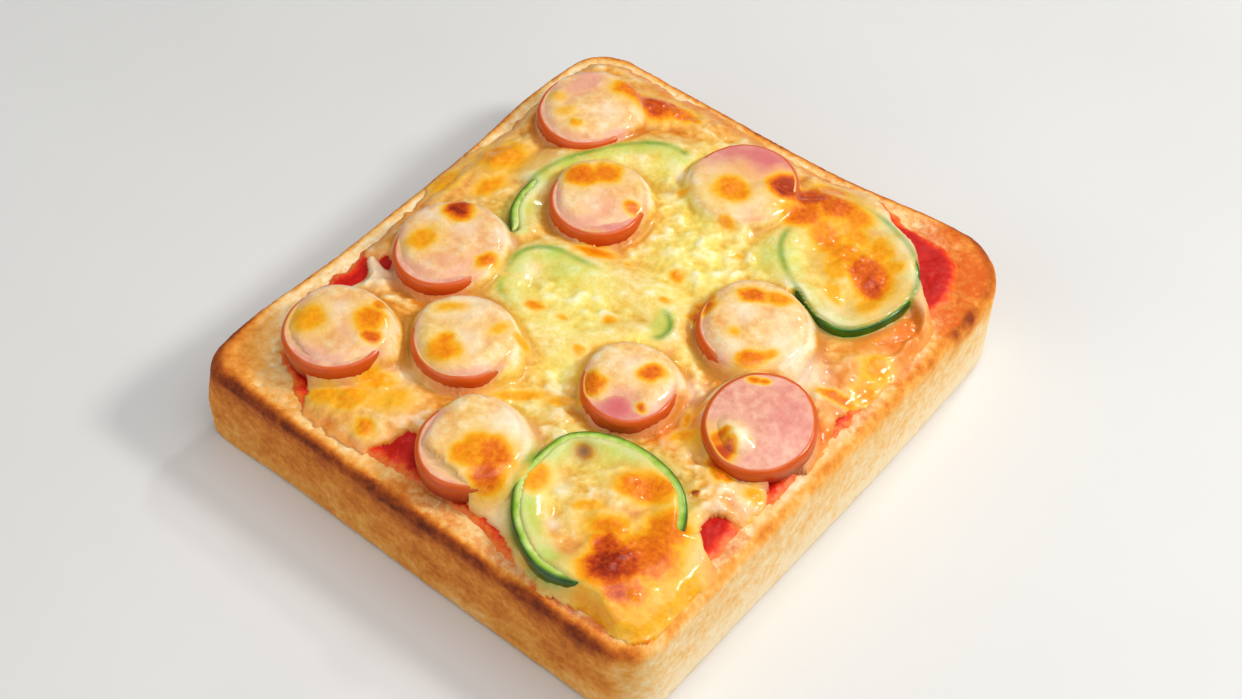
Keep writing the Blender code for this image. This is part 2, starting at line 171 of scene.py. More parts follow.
def calculate(tree, operation, *numbers):
    return add_node(tree, "ShaderNodeMath", {"operation": operation}, dict(enumerate(numbers))).outputs[0]


def colours(tree, value, stops):
    """The colour for a value, from a list of stops."""
    return add_node(tree, "ShaderNodeValToRGB", {"stops": stops}, {"Fac": value}).outputs[0]


def lay_over(tree, share, under, over):
    """One colour over another by a share from 0 to 1. The upper one may be a hex value."""
    over = linear(over) if isinstance(over, str) else over
    return add_node(tree, "ShaderNodeMix", {"data_type": "RGBA"}, {0: share, 6: under, 7: over}).outputs[2]


def bump(tree, height, strength, depth_mm, **links):
    """A fine relief that only the light sees. It may lie on another, given as Normal."""
    links = {"Height": height, "Strength": strength, "Distance": depth_mm * MM, **links}
    return add_node(tree, "ShaderNodeBump", links=links).outputs[0]

# %% [markdown]
# The toast lies on a plain pale floor in soft daylight from the right and a little from behind.
# Most of the light comes from large soft lamps overhead and in front, and little from the sky,
# because a bright sky would mirror in the wet surfaces and wash their colours out. The two small
# lamps give the sharp highlights that tell the eye that cheese and sauce are wet.

# %% Floor and light
FLOOR_SIZE = 6.0
floor_material, floor_tree, floor_shader = new_material("matte_white_card")
floor_grain = add_node(floor_tree, "ShaderNodeTexNoise", links={"Scale": 60.0, "Detail": 3.0}).outputs[0]
floor_colour = colours(floor_tree, floor_grain, [(0.3, "#DCDCDA"), (0.7, "#E1E1DF")])
set_inputs(floor_tree, floor_shader, {"Base Color": floor_colour, "Roughness": 0.7})
bpy.ops.mesh.primitive_plane_add(size=FLOOR_SIZE, location=(0.0, 0.0, 0.0))
floor = bpy.context.object
floor.name = "floor"
floor.data.materials.append(floor_material)

SKY_STRENGTH = 0.15
world = bpy.data.worlds.new("pale_sky")
world.use_nodes = True
sky = {"Color": linear("#FFFFFF"), "Strength": SKY_STRENGTH}
set_inputs(world.node_tree, world.node_tree.nodes["Background"], sky)
bpy.context.scene.world = world
bpy.context.scene.view_settings.view_transform = "Standard"

# name: direction from the toast, distance in metres, width in metres, power in watts, colour
LIGHTS = {
    "key": (Vector((0.80, 0.50, 0.85)), 0.95, 0.16, 4.6, "#FFFCF8"),
    "window": (Vector((-0.05, 0.75, 0.80)), 0.95, 0.07, 1.1, "#FFFFFF"),
    "overhead": (Vector((0.35, -0.05, 1.00)), 1.00, 0.80, 5.0, "#FFFFFF"),
    "front": (Vector((-0.25, -0.95, 0.65)), 1.10, 0.80, 2.8, "#FFFFFF"),
}
for name, (direction, distance, width, power, colour) in LIGHTS.items():
    data = bpy.data.lights.new(name, "AREA")
    data.size, data.energy = width, power
    data.color = linear(colour)[:3]
    light = bpy.data.objects.new(name, data)
    light.location = direction.normalized() * distance
    light.rotation_euler = direction.to_track_quat("Z", "Y").to_euler()
    bpy.context.scene.collection.objects.link(light)
print("lights:", sorted(LIGHTS))

# %% [markdown]
# Food has no straight lines. Everything below is uneven by the same two rules: a smooth noise,
# made of random slopes on a lattice, and a cell noise, the distance to the nearest of many
# scattered points, which makes pores. Both are seeded, so the toast is the same each time.

# %% Uneven surfaces
LATTICE_FACTORS = (374761393, 668265263, 2147483647, 974634777)
MIXERS = ((13, 1274126177), (15, 1103515245))
LARGEST = 0x7FFFFFFF
NOISE_GAIN, FAR_CELL = 1.9, 9.0


def lattice_value(*point_and_seed):
    """A fixed random value from 0 to 1 for each whole-number point."""
    mixed = sum(number * factor for number, factor in zip(point_and_seed, LATTICE_FACTORS))
    for shift, factor in MIXERS:
        mixed = (mixed ^ (mixed >> shift)) * factor & LARGEST
    return (mixed ^ (mixed >> 16)) / LARGEST


def smooth_noise(x, y, z, size, seed):
    """Smooth random values from -1 to 1 that change over about this size in mm, on a turned lattice."""
    place = [np.asarray(v, float) / size for v in (0.8 * x - 0.6 * y, 0.6 * x + 0.8 * y, z)]
    cell = [np.floor(p) for p in place]
    part = [p - c for p, c in zip(place, cell)]
    eased = [p * p * (3 - 2 * p) for p in part]
    whole = [c.astype(np.int64) for c in cell]
    total = 0.0
    for corner in np.ndindex(2, 2, 2):
        weight, slope = 1.0, 0.0
        point = [w + c for w, c in zip(whole, corner)]
        for k in range(3):
            weight = weight * (eased[k] if corner[k] else 1 - eased[k])
            slope = slope + (lattice_value(*point, seed + 1000 * k) * 2 - 1) * (part[k] - corner[k])
        total = total + weight * slope
    return np.clip(total * NOISE_GAIN, -1, 1)


def layered_noise(x, y, z, size, seed, layers=3):
    """Noise with finer and weaker layers on top, each turned from the last."""
    total, strength = 0.0, 1.0
    for layer in range(layers):
        total = total + strength * smooth_noise(x, y, z, size / 2 ** layer, seed + layer)
        x, y, strength = 0.6 * x + 0.8 * y, 0.6 * y - 0.8 * x, strength / 2
    return total


def cell_distance(x, y, z, size, seed):
    """Distance in mm to the nearest of points scattered one to a cell of this size in mm."""
    place = [np.asarray(v, float) / size for v in (x, y, z)]
    whole = [np.floor(p).astype(np.int64) for p in place]
    nearest = np.full(np.shape(place[0]), FAR_CELL)
    for step in np.ndindex(3, 3, 3):
        cell = [w + s - 1 for w, s in zip(whole, step)]
        point = [c + lattice_value(*cell, seed + 7 * k) for k, c in enumerate(cell)]
        nearest = np.minimum(nearest, sum((p - q) ** 2 for p, q in zip(place, point)))
    return np.sqrt(nearest) * size

# %% [markdown]
# Places that differ from the rest are noted as soft humps, each with a place, a radius
# and a strength. They add up where something piles up. Elsewhere the strongest one counts.

# %% Humps and ramps
def hump(x, y, centre_x, centre_y, radius):
    """One at a centre, falling smoothly to nothing round it."""
    return np.exp(-((x - centre_x) ** 2 + (y - centre_y) ** 2) / radius ** 2)


def add_humps(value, places, x, y, weight=1.0):
    """Add a hump at each place: x, y, radius and height."""
    for centre_x, centre_y, radius, amount in places:
        value = value + amount * hump(x, y, centre_x, centre_y, radius) * weight
    return value


def strongest(places, x, y):
    """The strongest hump at each point, of places with x, y, radius and strength."""
    value = 0 * x
    for centre_x, centre_y, radius, strength in places:
        value = np.maximum(value, strength * hump(x, y, centre_x, centre_y, radius))
    return value


def ramp(value, start, end):
    """From 0 at start to 1 at end, easing in and out."""
    share = np.clip((value - start) / (end - start), 0, 1)
    return share * share * (3 - 2 * share)

# %% [markdown]
# A finished piece is a mesh in metres with named values on its points, such as how browned or
# how thin it is there. Its material reads those values by name. Most pieces here are rows of
# points round a closed loop, like a turned or a lofted shape, so one function makes their faces.

# %% Mesh helpers
def make_piece(name, points, faces, values, material, replaced):
    """A smooth mesh from points in mm, with named values on its points."""
    mesh = bpy.data.meshes.new(name)
    mesh.from_pydata(np.asarray(points) * MM, [], faces)
    for label, numbers in values.items():
        layer = mesh.attributes.new(label, "FLOAT", "POINT")
        layer.data.foreach_set("value", np.asarray(numbers, np.float32).ravel())
    mesh.materials.append(material)
    mesh.shade_smooth()
    piece = bpy.data.objects.new(name, mesh)
    bpy.context.scene.collection.objects.link(piece)
    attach(piece, "root")
    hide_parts(*replaced)
    print(name, "triangles:", sum(len(face) - 2 for face in faces))
    return piece


def rings_to_faces(rows, columns, closed_rows=False):
    """Faces between rows of points that each close on themselves."""
    faces = []
    for row in range(rows if closed_rows else rows - 1):
        low, high = row * columns, (row + 1) % rows * columns
        for column in range(columns):
            after = (column + 1) % columns
            faces.append((low + column, low + after, high + after, high + column))
    return faces


def lofted_faces(rows, columns):
    """Faces of a closed form whose rows run from the middle of its top to the middle of its base."""
    faces = [face[::-1] for face in rings_to_faces(rows, columns)]
    faces.append(tuple(range(columns)))
    faces.append(tuple(reversed(range((rows - 1) * columns, rows * columns))))
    return faces


def points_of(x, y, z):
    """One row of x, y and z for each point of a grid."""
    return np.stack([x, y, z], -1).reshape(-1, 3)

# %% [markdown]
# The slice is square white loaf. Its tin left a rounded outline that bulges at two corners, and
# the cut face has a soft ridge where the crust meets the crumb. Rows of points follow that
# outline from the middle of the top, over the ridge, down the crust and in under the slice.
# They lie close together where the bread shows and far apart under the toppings.

# %% The slice's outline
SLICE_WIDTH, SLICE_DEPTH, SLICE_THICKNESS = 122.5, 137.5, 24.0
# Radii of the corners in mm, named as the camera sees them: right, near, far, left
CORNER_RADII = (15.0, 10.0, 12.0, 7.0)
# Side of the slice, as axis and sign: how far it is pressed in, and each bulge's place and half width
SIDE_WAISTS = {
    (0, -1): (1.6, ((41.0, 17.0), (-52.0, 15.0))), (0, 1): (1.2, ((20.0, 48.0),)),
    (1, -1): (0.6, ((-10.0, 50.0),)), (1, 1): (3.8, ((44.0, 22.0),)),
}
# The corner that leans out below its ridge: place, how far, over what reach and between which heights
LEANING_CORNER = (-SLICE_WIDTH / 2, -SLICE_DEPTH / 2)
LEAN_OUT, LEAN_REACH, LEAN_TOP, LEAN_FULL = 2.4, 15.0, 23.0, 12.0
# The dressed slice keeps a hair inside the outline of its solid
OUTLINE_COLUMNS, OUTLINE_SCALE = 640, 0.998


def waist(axis, across, along):
    """How far the sides on an axis are pressed in, in mm."""
    pressed = []
    for sign in (1, -1):
        depth, bulges = SIDE_WAISTS[axis, sign]
        bulging = sum(np.exp(-((along - bulge) / half_width) ** 2) for bulge, half_width in bulges)
        pressed.append(depth * (1 - bulging))
    return np.where(across > 0, *pressed)


def lean_out(x, y, z):
    """Push the crust out at the leaning corner, no further than the walls of the tin."""
    from_corner = np.hypot(x - LEANING_CORNER[0], y - LEANING_CORNER[1])
    depth_share = np.clip((LEAN_TOP - z) / (LEAN_TOP - LEAN_FULL), 0, 1)
    push = LEAN_OUT * depth_share * np.exp(-(from_corner / LEAN_REACH) ** 2)
    away = np.array(LEANING_CORNER) / np.hypot(*LEANING_CORNER)
    leant_x = np.maximum(x + away[0] * push, np.minimum(x, LEANING_CORNER[0]))
    leant_y = np.maximum(y + away[1] * push, np.minimum(y, LEANING_CORNER[1]))
    return leant_x, leant_y


def corner_radius(x, y):
    right, near, far, left = CORNER_RADII
    return np.where(x > 0, np.where(y > 0, right, near), np.where(y > 0, far, left))


def depth_inside(x, y):
    """How far a place on top lies inside the slice's outline, in mm."""
    radius = corner_radius(x, y)
    past_x = np.abs(x) - (SLICE_WIDTH / 2 - waist(0, x, y) - radius)
    past_y = np.abs(y) - (SLICE_DEPTH / 2 - waist(1, y, x) - radius)
    outside = np.hypot(np.maximum(past_x, 0), np.maximum(past_y, 0))
    return radius - outside - np.minimum(np.maximum(past_x, past_y), 0)


def walk_round(columns):
    """Points of the slice's outline in order, counterclockwise from above."""
    step = np.arange(columns) / columns * 4
    side, part = np.floor(step).astype(int), (step % 1) * 2 - 1
    full = 1 + 0 * part
    x = np.choose(side, [part, full, -part, -full]) * SLICE_WIDTH / 2
    y = np.choose(side, [-full, part, full, -part]) * SLICE_DEPTH / 2
    sign_x, sign_y = np.where(x > 0, 1, -1), np.where(y > 0, 1, -1)
    radius = corner_radius(x, y)
    past_x = np.abs(x) - (SLICE_WIDTH / 2 - radius)
    past_y = np.abs(y) - (SLICE_DEPTH / 2 - radius)
    in_corner = (past_x > 0) & (past_y > 0)
    reach = np.maximum(np.hypot(past_x, past_y), 1e-6)
    x = np.where(in_corner, sign_x * (SLICE_WIDTH / 2 - radius + past_x / reach * radius), x)
    y = np.where(in_corner, sign_y * (SLICE_DEPTH / 2 - radius + past_y / reach * radius), y)
    share_x, share_y = np.abs(x) * 2 / SLICE_WIDTH, np.abs(y) * 2 / SLICE_DEPTH
    x = x - sign_x * waist(0, x, y) * share_x ** 4
    y = y - sign_y * waist(1, y, x) * share_y ** 4
    return x, y


outline_x, outline_y = (OUTLINE_SCALE * places for places in walk_round(OUTLINE_COLUMNS))
print("outline, mm:", round(np.ptp(outline_x), 1), "by", round(np.ptp(outline_y), 1))

# %% [markdown]
# A row is a share of the outline, a height and the tilt of the surface there: upright normals
# on top, level ones on the crust. The relief is then pushed in along those normals. Crumb has
# open pores, crust has shallow crags, and both are only ever pushed in, so that the bread stays
# inside its solid.

# %% Shape of the bread
RIDGE_ROUNDING, BASE_ROUNDING, MEAN_HALF = 2.6, 1.8, 64.0
HIDDEN_SHARES = (0.02, 0.35, 0.62, 0.76)
TOP_SHARES = np.linspace(0.80, 1 - RIDGE_ROUNDING / MEAN_HALF, 18)
RIDGE_ANGLES = np.radians(np.linspace(12, 90, 6))
SIDE_HEIGHTS = np.linspace(SLICE_THICKNESS - RIDGE_ROUNDING, BASE_ROUNDING, 32)[1:]
BASE_ANGLES = np.radians(np.linspace(25, 90, 4))
BASE_SHARES = (0.955, 0.94, 0.92, 0.90, 0.86, 0.80, 0.7, 0.55, 0.35, 0.02)
UNDERSIDE_TILT = -80
CRUST_RELIEF = 0.35


def bread_rows():
    """Share of the outline, height and tilt of the normal for each row, from the top to the base."""
    for share in (*HIDDEN_SHARES, *TOP_SHARES):
        yield share, SLICE_THICKNESS, 90.0
    for angle in RIDGE_ANGLES:
        inset = RIDGE_ROUNDING * (1 - math.sin(angle))
        height = SLICE_THICKNESS - RIDGE_ROUNDING * (1 - math.cos(angle))
        yield 1 - inset / MEAN_HALF, height, 90 - math.degrees(angle)
    for height in SIDE_HEIGHTS:
        yield 1.0, height, 0.0
    for angle in BASE_ANGLES:
        inset = BASE_ROUNDING * (1 - math.cos(angle))
        yield 1 - inset / MEAN_HALF, BASE_ROUNDING * (1 - math.sin(angle)), -math.degrees(angle)
    for share in BASE_SHARES:
        yield share, 0.0, -90.0


rows = np.array(list(bread_rows()))
share, height, tilt = (rows[:, k][:, None] for k in range(3))
bread_x, bread_y = share * outline_x, share * outline_y
bread_z = height + 0 * bread_x
outward = np.stack([outline_x / SLICE_WIDTH, outline_y / SLICE_DEPTH])
outward = np.sign(outward) * np.abs(outward) ** 6
outward = outward / np.hypot(*outward)
level, upright = np.cos(np.radians(tilt)), np.sin(np.radians(tilt))

# Crumb is 1 on the cut faces and 0 on the crust. The depths below are in mm.
crumb = np.abs(upright) ** 2
crags = np.clip(0.5 + 0.5 * layered_noise(bread_x, bread_y, bread_z, size=5.0, seed=11), 0, 1)
pores = ramp(cell_distance(bread_x, bread_y, bread_z * 1.6, size=2.6, seed=21), 0.95, 0.35)
fine_pores = ramp(cell_distance(bread_x, bread_y, bread_z, size=1.5, seed=22), 0.60, 0.25)
wrinkles = 0.5 + 0.5 * smooth_noise(bread_x * 0.7, bread_y * 0.7, bread_z * 2.2, size=1.8, seed=31)
crust_push = CRUST_RELIEF * (0.25 + 0.45 * crags + 0.3 * wrinkles) + 0.10 * fine_pores
crumb_push = 0.16 * crags + 0.55 * pores + 0.22 * fine_pores
push = (1 - crumb) * crust_push + crumb * crumb_push
push = push * np.where(tilt < UNDERSIDE_TILT, 0.5, 1.0)
bread_x, bread_y = lean_out(bread_x, bread_y, bread_z)
bread_x = bread_x - push * level * outward[0]
bread_y = bread_y - push * level * outward[1]
bread_z = np.maximum(bread_z - push * upright, 0.0)
print("bread rows:", len(rows), "deepest push, mm:", round(float(push.max()), 2))

# %% [markdown]
# How much each place was browned decides its colour. The crust came brown out of the tin and
# darkest along the ridge of the near left side. The near right side, ridge included, is painted
# paler: partly paler crust, partly painted light from the lamps on the right. On top, the oven
# toasted the rim and left a pale strip beside the sauce, where steam kept it soft.

# %% Browning of the bread
# Browning runs from 0 to 1. Toasted places on top: x, y, radius in mm and how much browner
TOASTED_PLACES = (
    (-59.5, -67.5, 5, 0.28), (-50, -66, 7, 0.14), (-56, -60, 8, 0.2), (-60.5, -56, 6, 0.28),
    (-61, -40, 6, 0.1), (-60, 10, 12, 0.1), (57, 52, 10, 0.3), (52, 62, 9, 0.3), (43, 65, 2.6, 0.34),
    (59.6, 46.6, 2.2, 0.34), (59.8, 41.4, 2.4, 0.26), (58, 36, 7, 0.16), (20, 64, 14, 0.16),
    (-8, 64, 9, 0.22), (59, -66.5, 3, 0.42), (47, -67, 5, 0.14), (36, -68, 5, 0.12), (20, -68, 5, 0.12),
    (0, -67, 20, 0.12), (44, -68.5, 5, 0.22), (30, -69, 6, 0.14), (0, -69, 12, 0.18),
    (-26, -68.5, 8, 0.1), (-38, -66, 12, 0.16), (58, 22, 8, 0.14), (57, 6, 8, 0.1), (57, -6, 5, 0.14),
    (57, -24, 6, 0.1), (60, -40, 8, 0.06), (-59, 30, 12, 0.08), (-56, 60, 9, 0.12),
)
DARKEST = 0.88
sides = (outward[0], -outward[0], outward[1])
near_right, far_left, far_right = (ramp(side, 0.2, 0.9) for side in sides)
# Paler on the near right side and a little on the far right: partly paler crust, partly painted light from
# the lamps on the right
side_browning_and_painted_light = 0.50 - 0.37 * near_right - 0.14 * far_right + 0 * bread_x
ridge = np.exp(-((bread_z - SLICE_THICKNESS + 0.9) / 1.3) ** 2) * ramp(share, 0.955, 0.985)
# The ridge is painted paler on the near right side too, partly as painted light
ridge_browning = 0.34 - 0.24 * near_right - 0.14 * far_left
low_side = ramp(bread_z, 13, 3) * (1 - crumb)
browned = side_browning_and_painted_light * (1 - crumb) - 0.14 * low_side + ridge * ridge_browning
top_rim = crumb * ramp(share, 0.945, 0.975)
browned = browned + crumb * 0.08 + top_rim * (0.12 + 0.10 * near_right + 0.08 * far_right)
browned = add_humps(browned, TOASTED_PLACES, bread_x, bread_y, ramp(bread_z, 15, 23))
patches = layered_noise(bread_x, bread_y, bread_z, size=7.0, seed=41)
browned = browned + 0.10 * patches * ramp(browned, 0.05, 0.4)
browned = np.minimum(browned - 0.10 * crumb * pores, DARKEST)
under_patches = layered_noise(bread_x, bread_y, bread_z, size=12.0, seed=43)
browned = np.where(tilt < UNDERSIDE_TILT, 0.30 + 0.18 * under_patches, browned)
print("browning from", round(float(browned.min()), 2), "to", round(float(browned.max()), 2))

# %% [markdown]
# Baked crust is dry starch and sugar, matte, with an IOR near 1.45 and a roughness near 0.8.
# Its colour runs from cream crumb through gold to dark brown as the sugars brown. Fine speckles,
# drawn from noise, shift the browning, and a bump gives the dry, felted feel. On real crust they
# are about half as large as the pattern here, which is drawn coarser so that the picture holds it.

# %% Baked crust
CRUST_STOPS = [
    (0.00, "#FCE6BC"), (0.16, "#F9CC86"), (0.34, "#F2A848"), (0.52, "#DD8024"), (0.70, "#BA5C14"),
    (0.86, "#943E0C"), (1.00, "#5E2206"),
]
SPECKLE_MM, BLOTCH_MM, FIBRE_MM = 1.8, 5.0, 0.7
crust, tree, shader = new_material("baked_crust")
speckle = grain(tree, SPECKLE_MM, detail=4.0, roughness=0.7)
blotch = grain(tree, BLOTCH_MM, detail=3.0, roughness=0.6)
speckle_shift = swing(tree, speckle, 0.12)
shifted = calculate(tree, "ADD", carried(tree, "browning"), speckle_shift)
shifted = calculate(tree, "ADD", shifted, swing(tree, blotch, 0.06))
stain_edge = calculate(tree, "MULTIPLY_ADD", speckle_shift, 2.4, carried(tree, "stain"))
stain_share = rescale(tree, stain_edge, (0.25, 1.0), (0.0, 0.85))
felt = bump(tree, grain(tree, FIBRE_MM, detail=5.0, roughness=0.7), strength=0.7, depth_mm=0.25)
set_inputs(tree, shader, {
    "Base Color": lay_over(tree, stain_share, colours(tree, shifted, CRUST_STOPS), "#DD5A16"),
    "Normal": bump(tree, speckle, strength=0.6, depth_mm=0.35, Normal=felt),
    "Roughness": 0.82, "IOR": 1.45, "Specular IOR Level": 0.35,
    "Subsurface Weight": 0.12, "Subsurface Radius": (1.0, 0.55, 0.25), "Subsurface Scale": 1.5 * MM,
})
print("crust colours:", len(CRUST_STOPS))

# %% [markdown]
# Sauce soaked into the crumb where it was spread close to the crust. The stain is strongest at
# the right corner and along the near left edge, and fades within two or three millimetres.

# %% The bread
# x, y, radius in mm and strength of each stain
STAINS = (
    (52, 56, 13, 1), (56, 44, 8, 0.95), (42, 62, 9, 0.9), (38, -64, 10, 0.95), (48, -65, 6, 0.8),
    (2, -63, 12, 0.6), (56, -34, 7, 0.7), (57, 10, 8, 0.6), (-52, -30, 4, 0.5), (57, 26, 9, 0.7),
    (24, -64, 9, 0.7), (20, 62, 14, 0.5),
)
stain = strongest(STAINS, bread_x, bread_y) * crumb * ramp(depth_inside(bread_x, bread_y), 0.6, 3.5)
make_piece("bread_slice", points_of(bread_x, bread_y, bread_z), lofted_faces(len(rows), OUTLINE_COLUMNS),
           {"browning": browned, "stain": stain}, crust, ["bread"])

# %% [markdown]
# Ketchup was spread thinly with a spoon, so its surface has low ridges and its edge wanders.
# It is tomato pulp in water and sugar: wet and glossy, with an IOR near 1.38, deep red where it
# lies thick and orange where it dried thin at the edge.

# %% Ketchup
SAUCE_TOP, SAUCE_MARGIN, SAUCE_EDGE_WIDTH = 24.75, 4.8, 2.2
SAUCE_FOOT, SAUCE_UNDERSIDE = SLICE_THICKNESS - 0.5, SLICE_THICKNESS - 1.8
PULP_MM = 1.4
# Where the spoon left the crumb bare: x, y, radius and how far the sauce is drawn back, in mm
BARE_CRUMB = (
    (55, 60, 9, 7), (57.5, 40, 7, 5), (40, 64, 8, 3), (-55, -57, 11, 9), (-60, 0, 20, 1.5),
    (-45, -62.5, 8, 5), (2, -69, 16, 2.6), (34, -69, 10, 2),
)


def sauce_height(x, y):
    """Height of the sauce's surface, which falls to the crumb at its edge, and how far in that edge is."""
    spread = depth_inside(x, y) - SAUCE_MARGIN + 1.5 * smooth_noise(x, y, 0, size=14.0, seed=51)
    spread = spread + 0.5 * smooth_noise(x, y, 0, size=4.0, seed=52)
    spread = spread + 0.7 * layered_noise(x, y, 0, size=2.6, seed=58)
    spread = add_humps(spread, BARE_CRUMB, x, y, -1.0)
    ripples = 0.22 * layered_noise(x, y, 0, size=4.5, seed=53)
    ripples = ripples + 0.20 * smooth_noise(x, y, 0, size=1.3, seed=57)
    edge = np.sqrt(np.clip(spread / SAUCE_EDGE_WIDTH, 0, 1))
    return SAUCE_FOOT + (SAUCE_TOP + ripples - SAUCE_FOOT) * edge - ramp(spread, 0, -1), spread


sauce_shares = np.concatenate([[0.02, 0.3, 0.5, 0.6], np.linspace(0.66, 0.972, 44)])[:, None]
sauce_x, sauce_y = sauce_shares * outline_x, sauce_shares * outline_y
sauce_z, sauce_spread = sauce_height(sauce_x, sauce_y)
# Two more rows close the layer below: its outer edge, and its middle
under_z = np.full((1, OUTLINE_COLUMNS), SAUCE_UNDERSIDE)
sauce_points = points_of(
    np.concatenate([sauce_x, sauce_x[-1:], sauce_x[:1]]),
    np.concatenate([sauce_y, sauce_y[-1:], sauce_y[:1]]),
    np.concatenate([sauce_z, under_z, under_z]))
thickness = np.concatenate([ramp(sauce_spread, 0.2, 4.5), np.zeros((2, OUTLINE_COLUMNS))])

ketchup, tree, shader = new_material("tomato_ketchup")
pulp = grain(tree, PULP_MM, detail=5.0, roughness=0.65)
thick = calculate(tree, "ADD", carried(tree, "thickness"), swing(tree, pulp, 0.28))
set_inputs(tree, shader, {
    "Base Color": colours(tree, thick, [
        (0.0, "#F07A26"), (0.3, "#EE4C16"), (0.6, "#DE240C"), (1.0, "#C01208")]),
    "Normal": bump(tree, pulp, strength=0.8, depth_mm=0.4), "Roughness": 0.30, "IOR": 1.38,
    "Subsurface Weight": 0.1, "Subsurface Radius": (1.0, 0.12, 0.05), "Subsurface Scale": 1.2 * MM,
})
make_piece("ketchup_layer", sauce_points, lofted_faces(len(sauce_shares) + 2, OUTLINE_COLUMNS),
           {"thickness": thickness}, ketchup, ["ketchup"])

# %% [markdown]
# The ten sausage rounds are read from their solids: the box of each gives its middle, its
# sizes and its height, and the tilts are the ones that it was made with. What each round looks
# like from above is a plane with a slight dome, which the cheese below needs too.

# %% Where the sausage rounds lie
# One row for each round from sausage_1 to sausage_10: tilt about X and about Y in degrees, thickness in mm
ROUND_TILTS = (
    (2.0, 1.0, 6.2), (3.0, 2.0, 7.4), (3.0, -2.0, 6.4), (1.0, 1.5, 6.0), (4.0, -2.0, 6.8),
    (2.5, 1.0, 6.8), (2.0, 1.0, 6.6), (3.0, 1.5, 6.8), (7.0, 5.0, 6.2), (3.0, 1.0, 6.8),
)
CASING_ROUNDING, FACE_DOME, RIM_DROP = 1.3, 0.7, 0.6
# Room for the swelling of the round inside its solid
SWELL_ROOM = 0.1
rounds = {}
for number, (tilt_x, tilt_y, thick_mm) in enumerate(ROUND_TILTS):
    name = f"sausage_{number + 1}"
    low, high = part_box(name)
    tilt_x, tilt_y = math.radians(tilt_x), math.radians(tilt_y)
    across = (high.x - low.x) / 2 / MM / math.cos(tilt_y) - SWELL_ROOM
    along = (high.y - low.y) / 2 / MM / math.cos(tilt_x) - SWELL_ROOM
    rounds[name] = {
        "middle": (low + high) / 2 / MM, "turn": Euler((tilt_x, tilt_y, 0.0)).to_matrix(),
        "thickness": thick_mm, "across": across, "along": along, "radius": (across + along) / 2,
    }


def round_reach(entry, x, y):
    """Distance from the middle of a round as a share of its radius."""
    return np.hypot((x - entry["middle"].x) / entry["across"], (y - entry["middle"].y) / entry["along"])


def round_top(entry, x, y):
    """Height of a round's cut face, continued past its rim."""
    normal = entry["turn"] @ Vector((0.0, 0.0, 1.0))
    top = entry["middle"].z + entry["thickness"] / 2 - FACE_DOME / 2
    plane = top - ((x - entry["middle"].x) * normal.x + (y - entry["middle"].y) * normal.y) / normal.z
    reach = np.clip(round_reach(entry, x, y), 0, 1.1)
    return plane + FACE_DOME * (1 - reach ** 2) - RIM_DROP * ramp(reach, 0.86, 1.05)


print("rounds:", {name: round(entry["across"] * 2, 1) for name, entry in rounds.items()})

# %% [markdown]
# Browned spots form where a bubble of cheese or the top of a round stood closest to the heat.
# Each is a place, two radii, an angle, a strength and the height of its blister. One list
# serves the cheese and the sausage alike, so that a spot runs on across the edge between them.

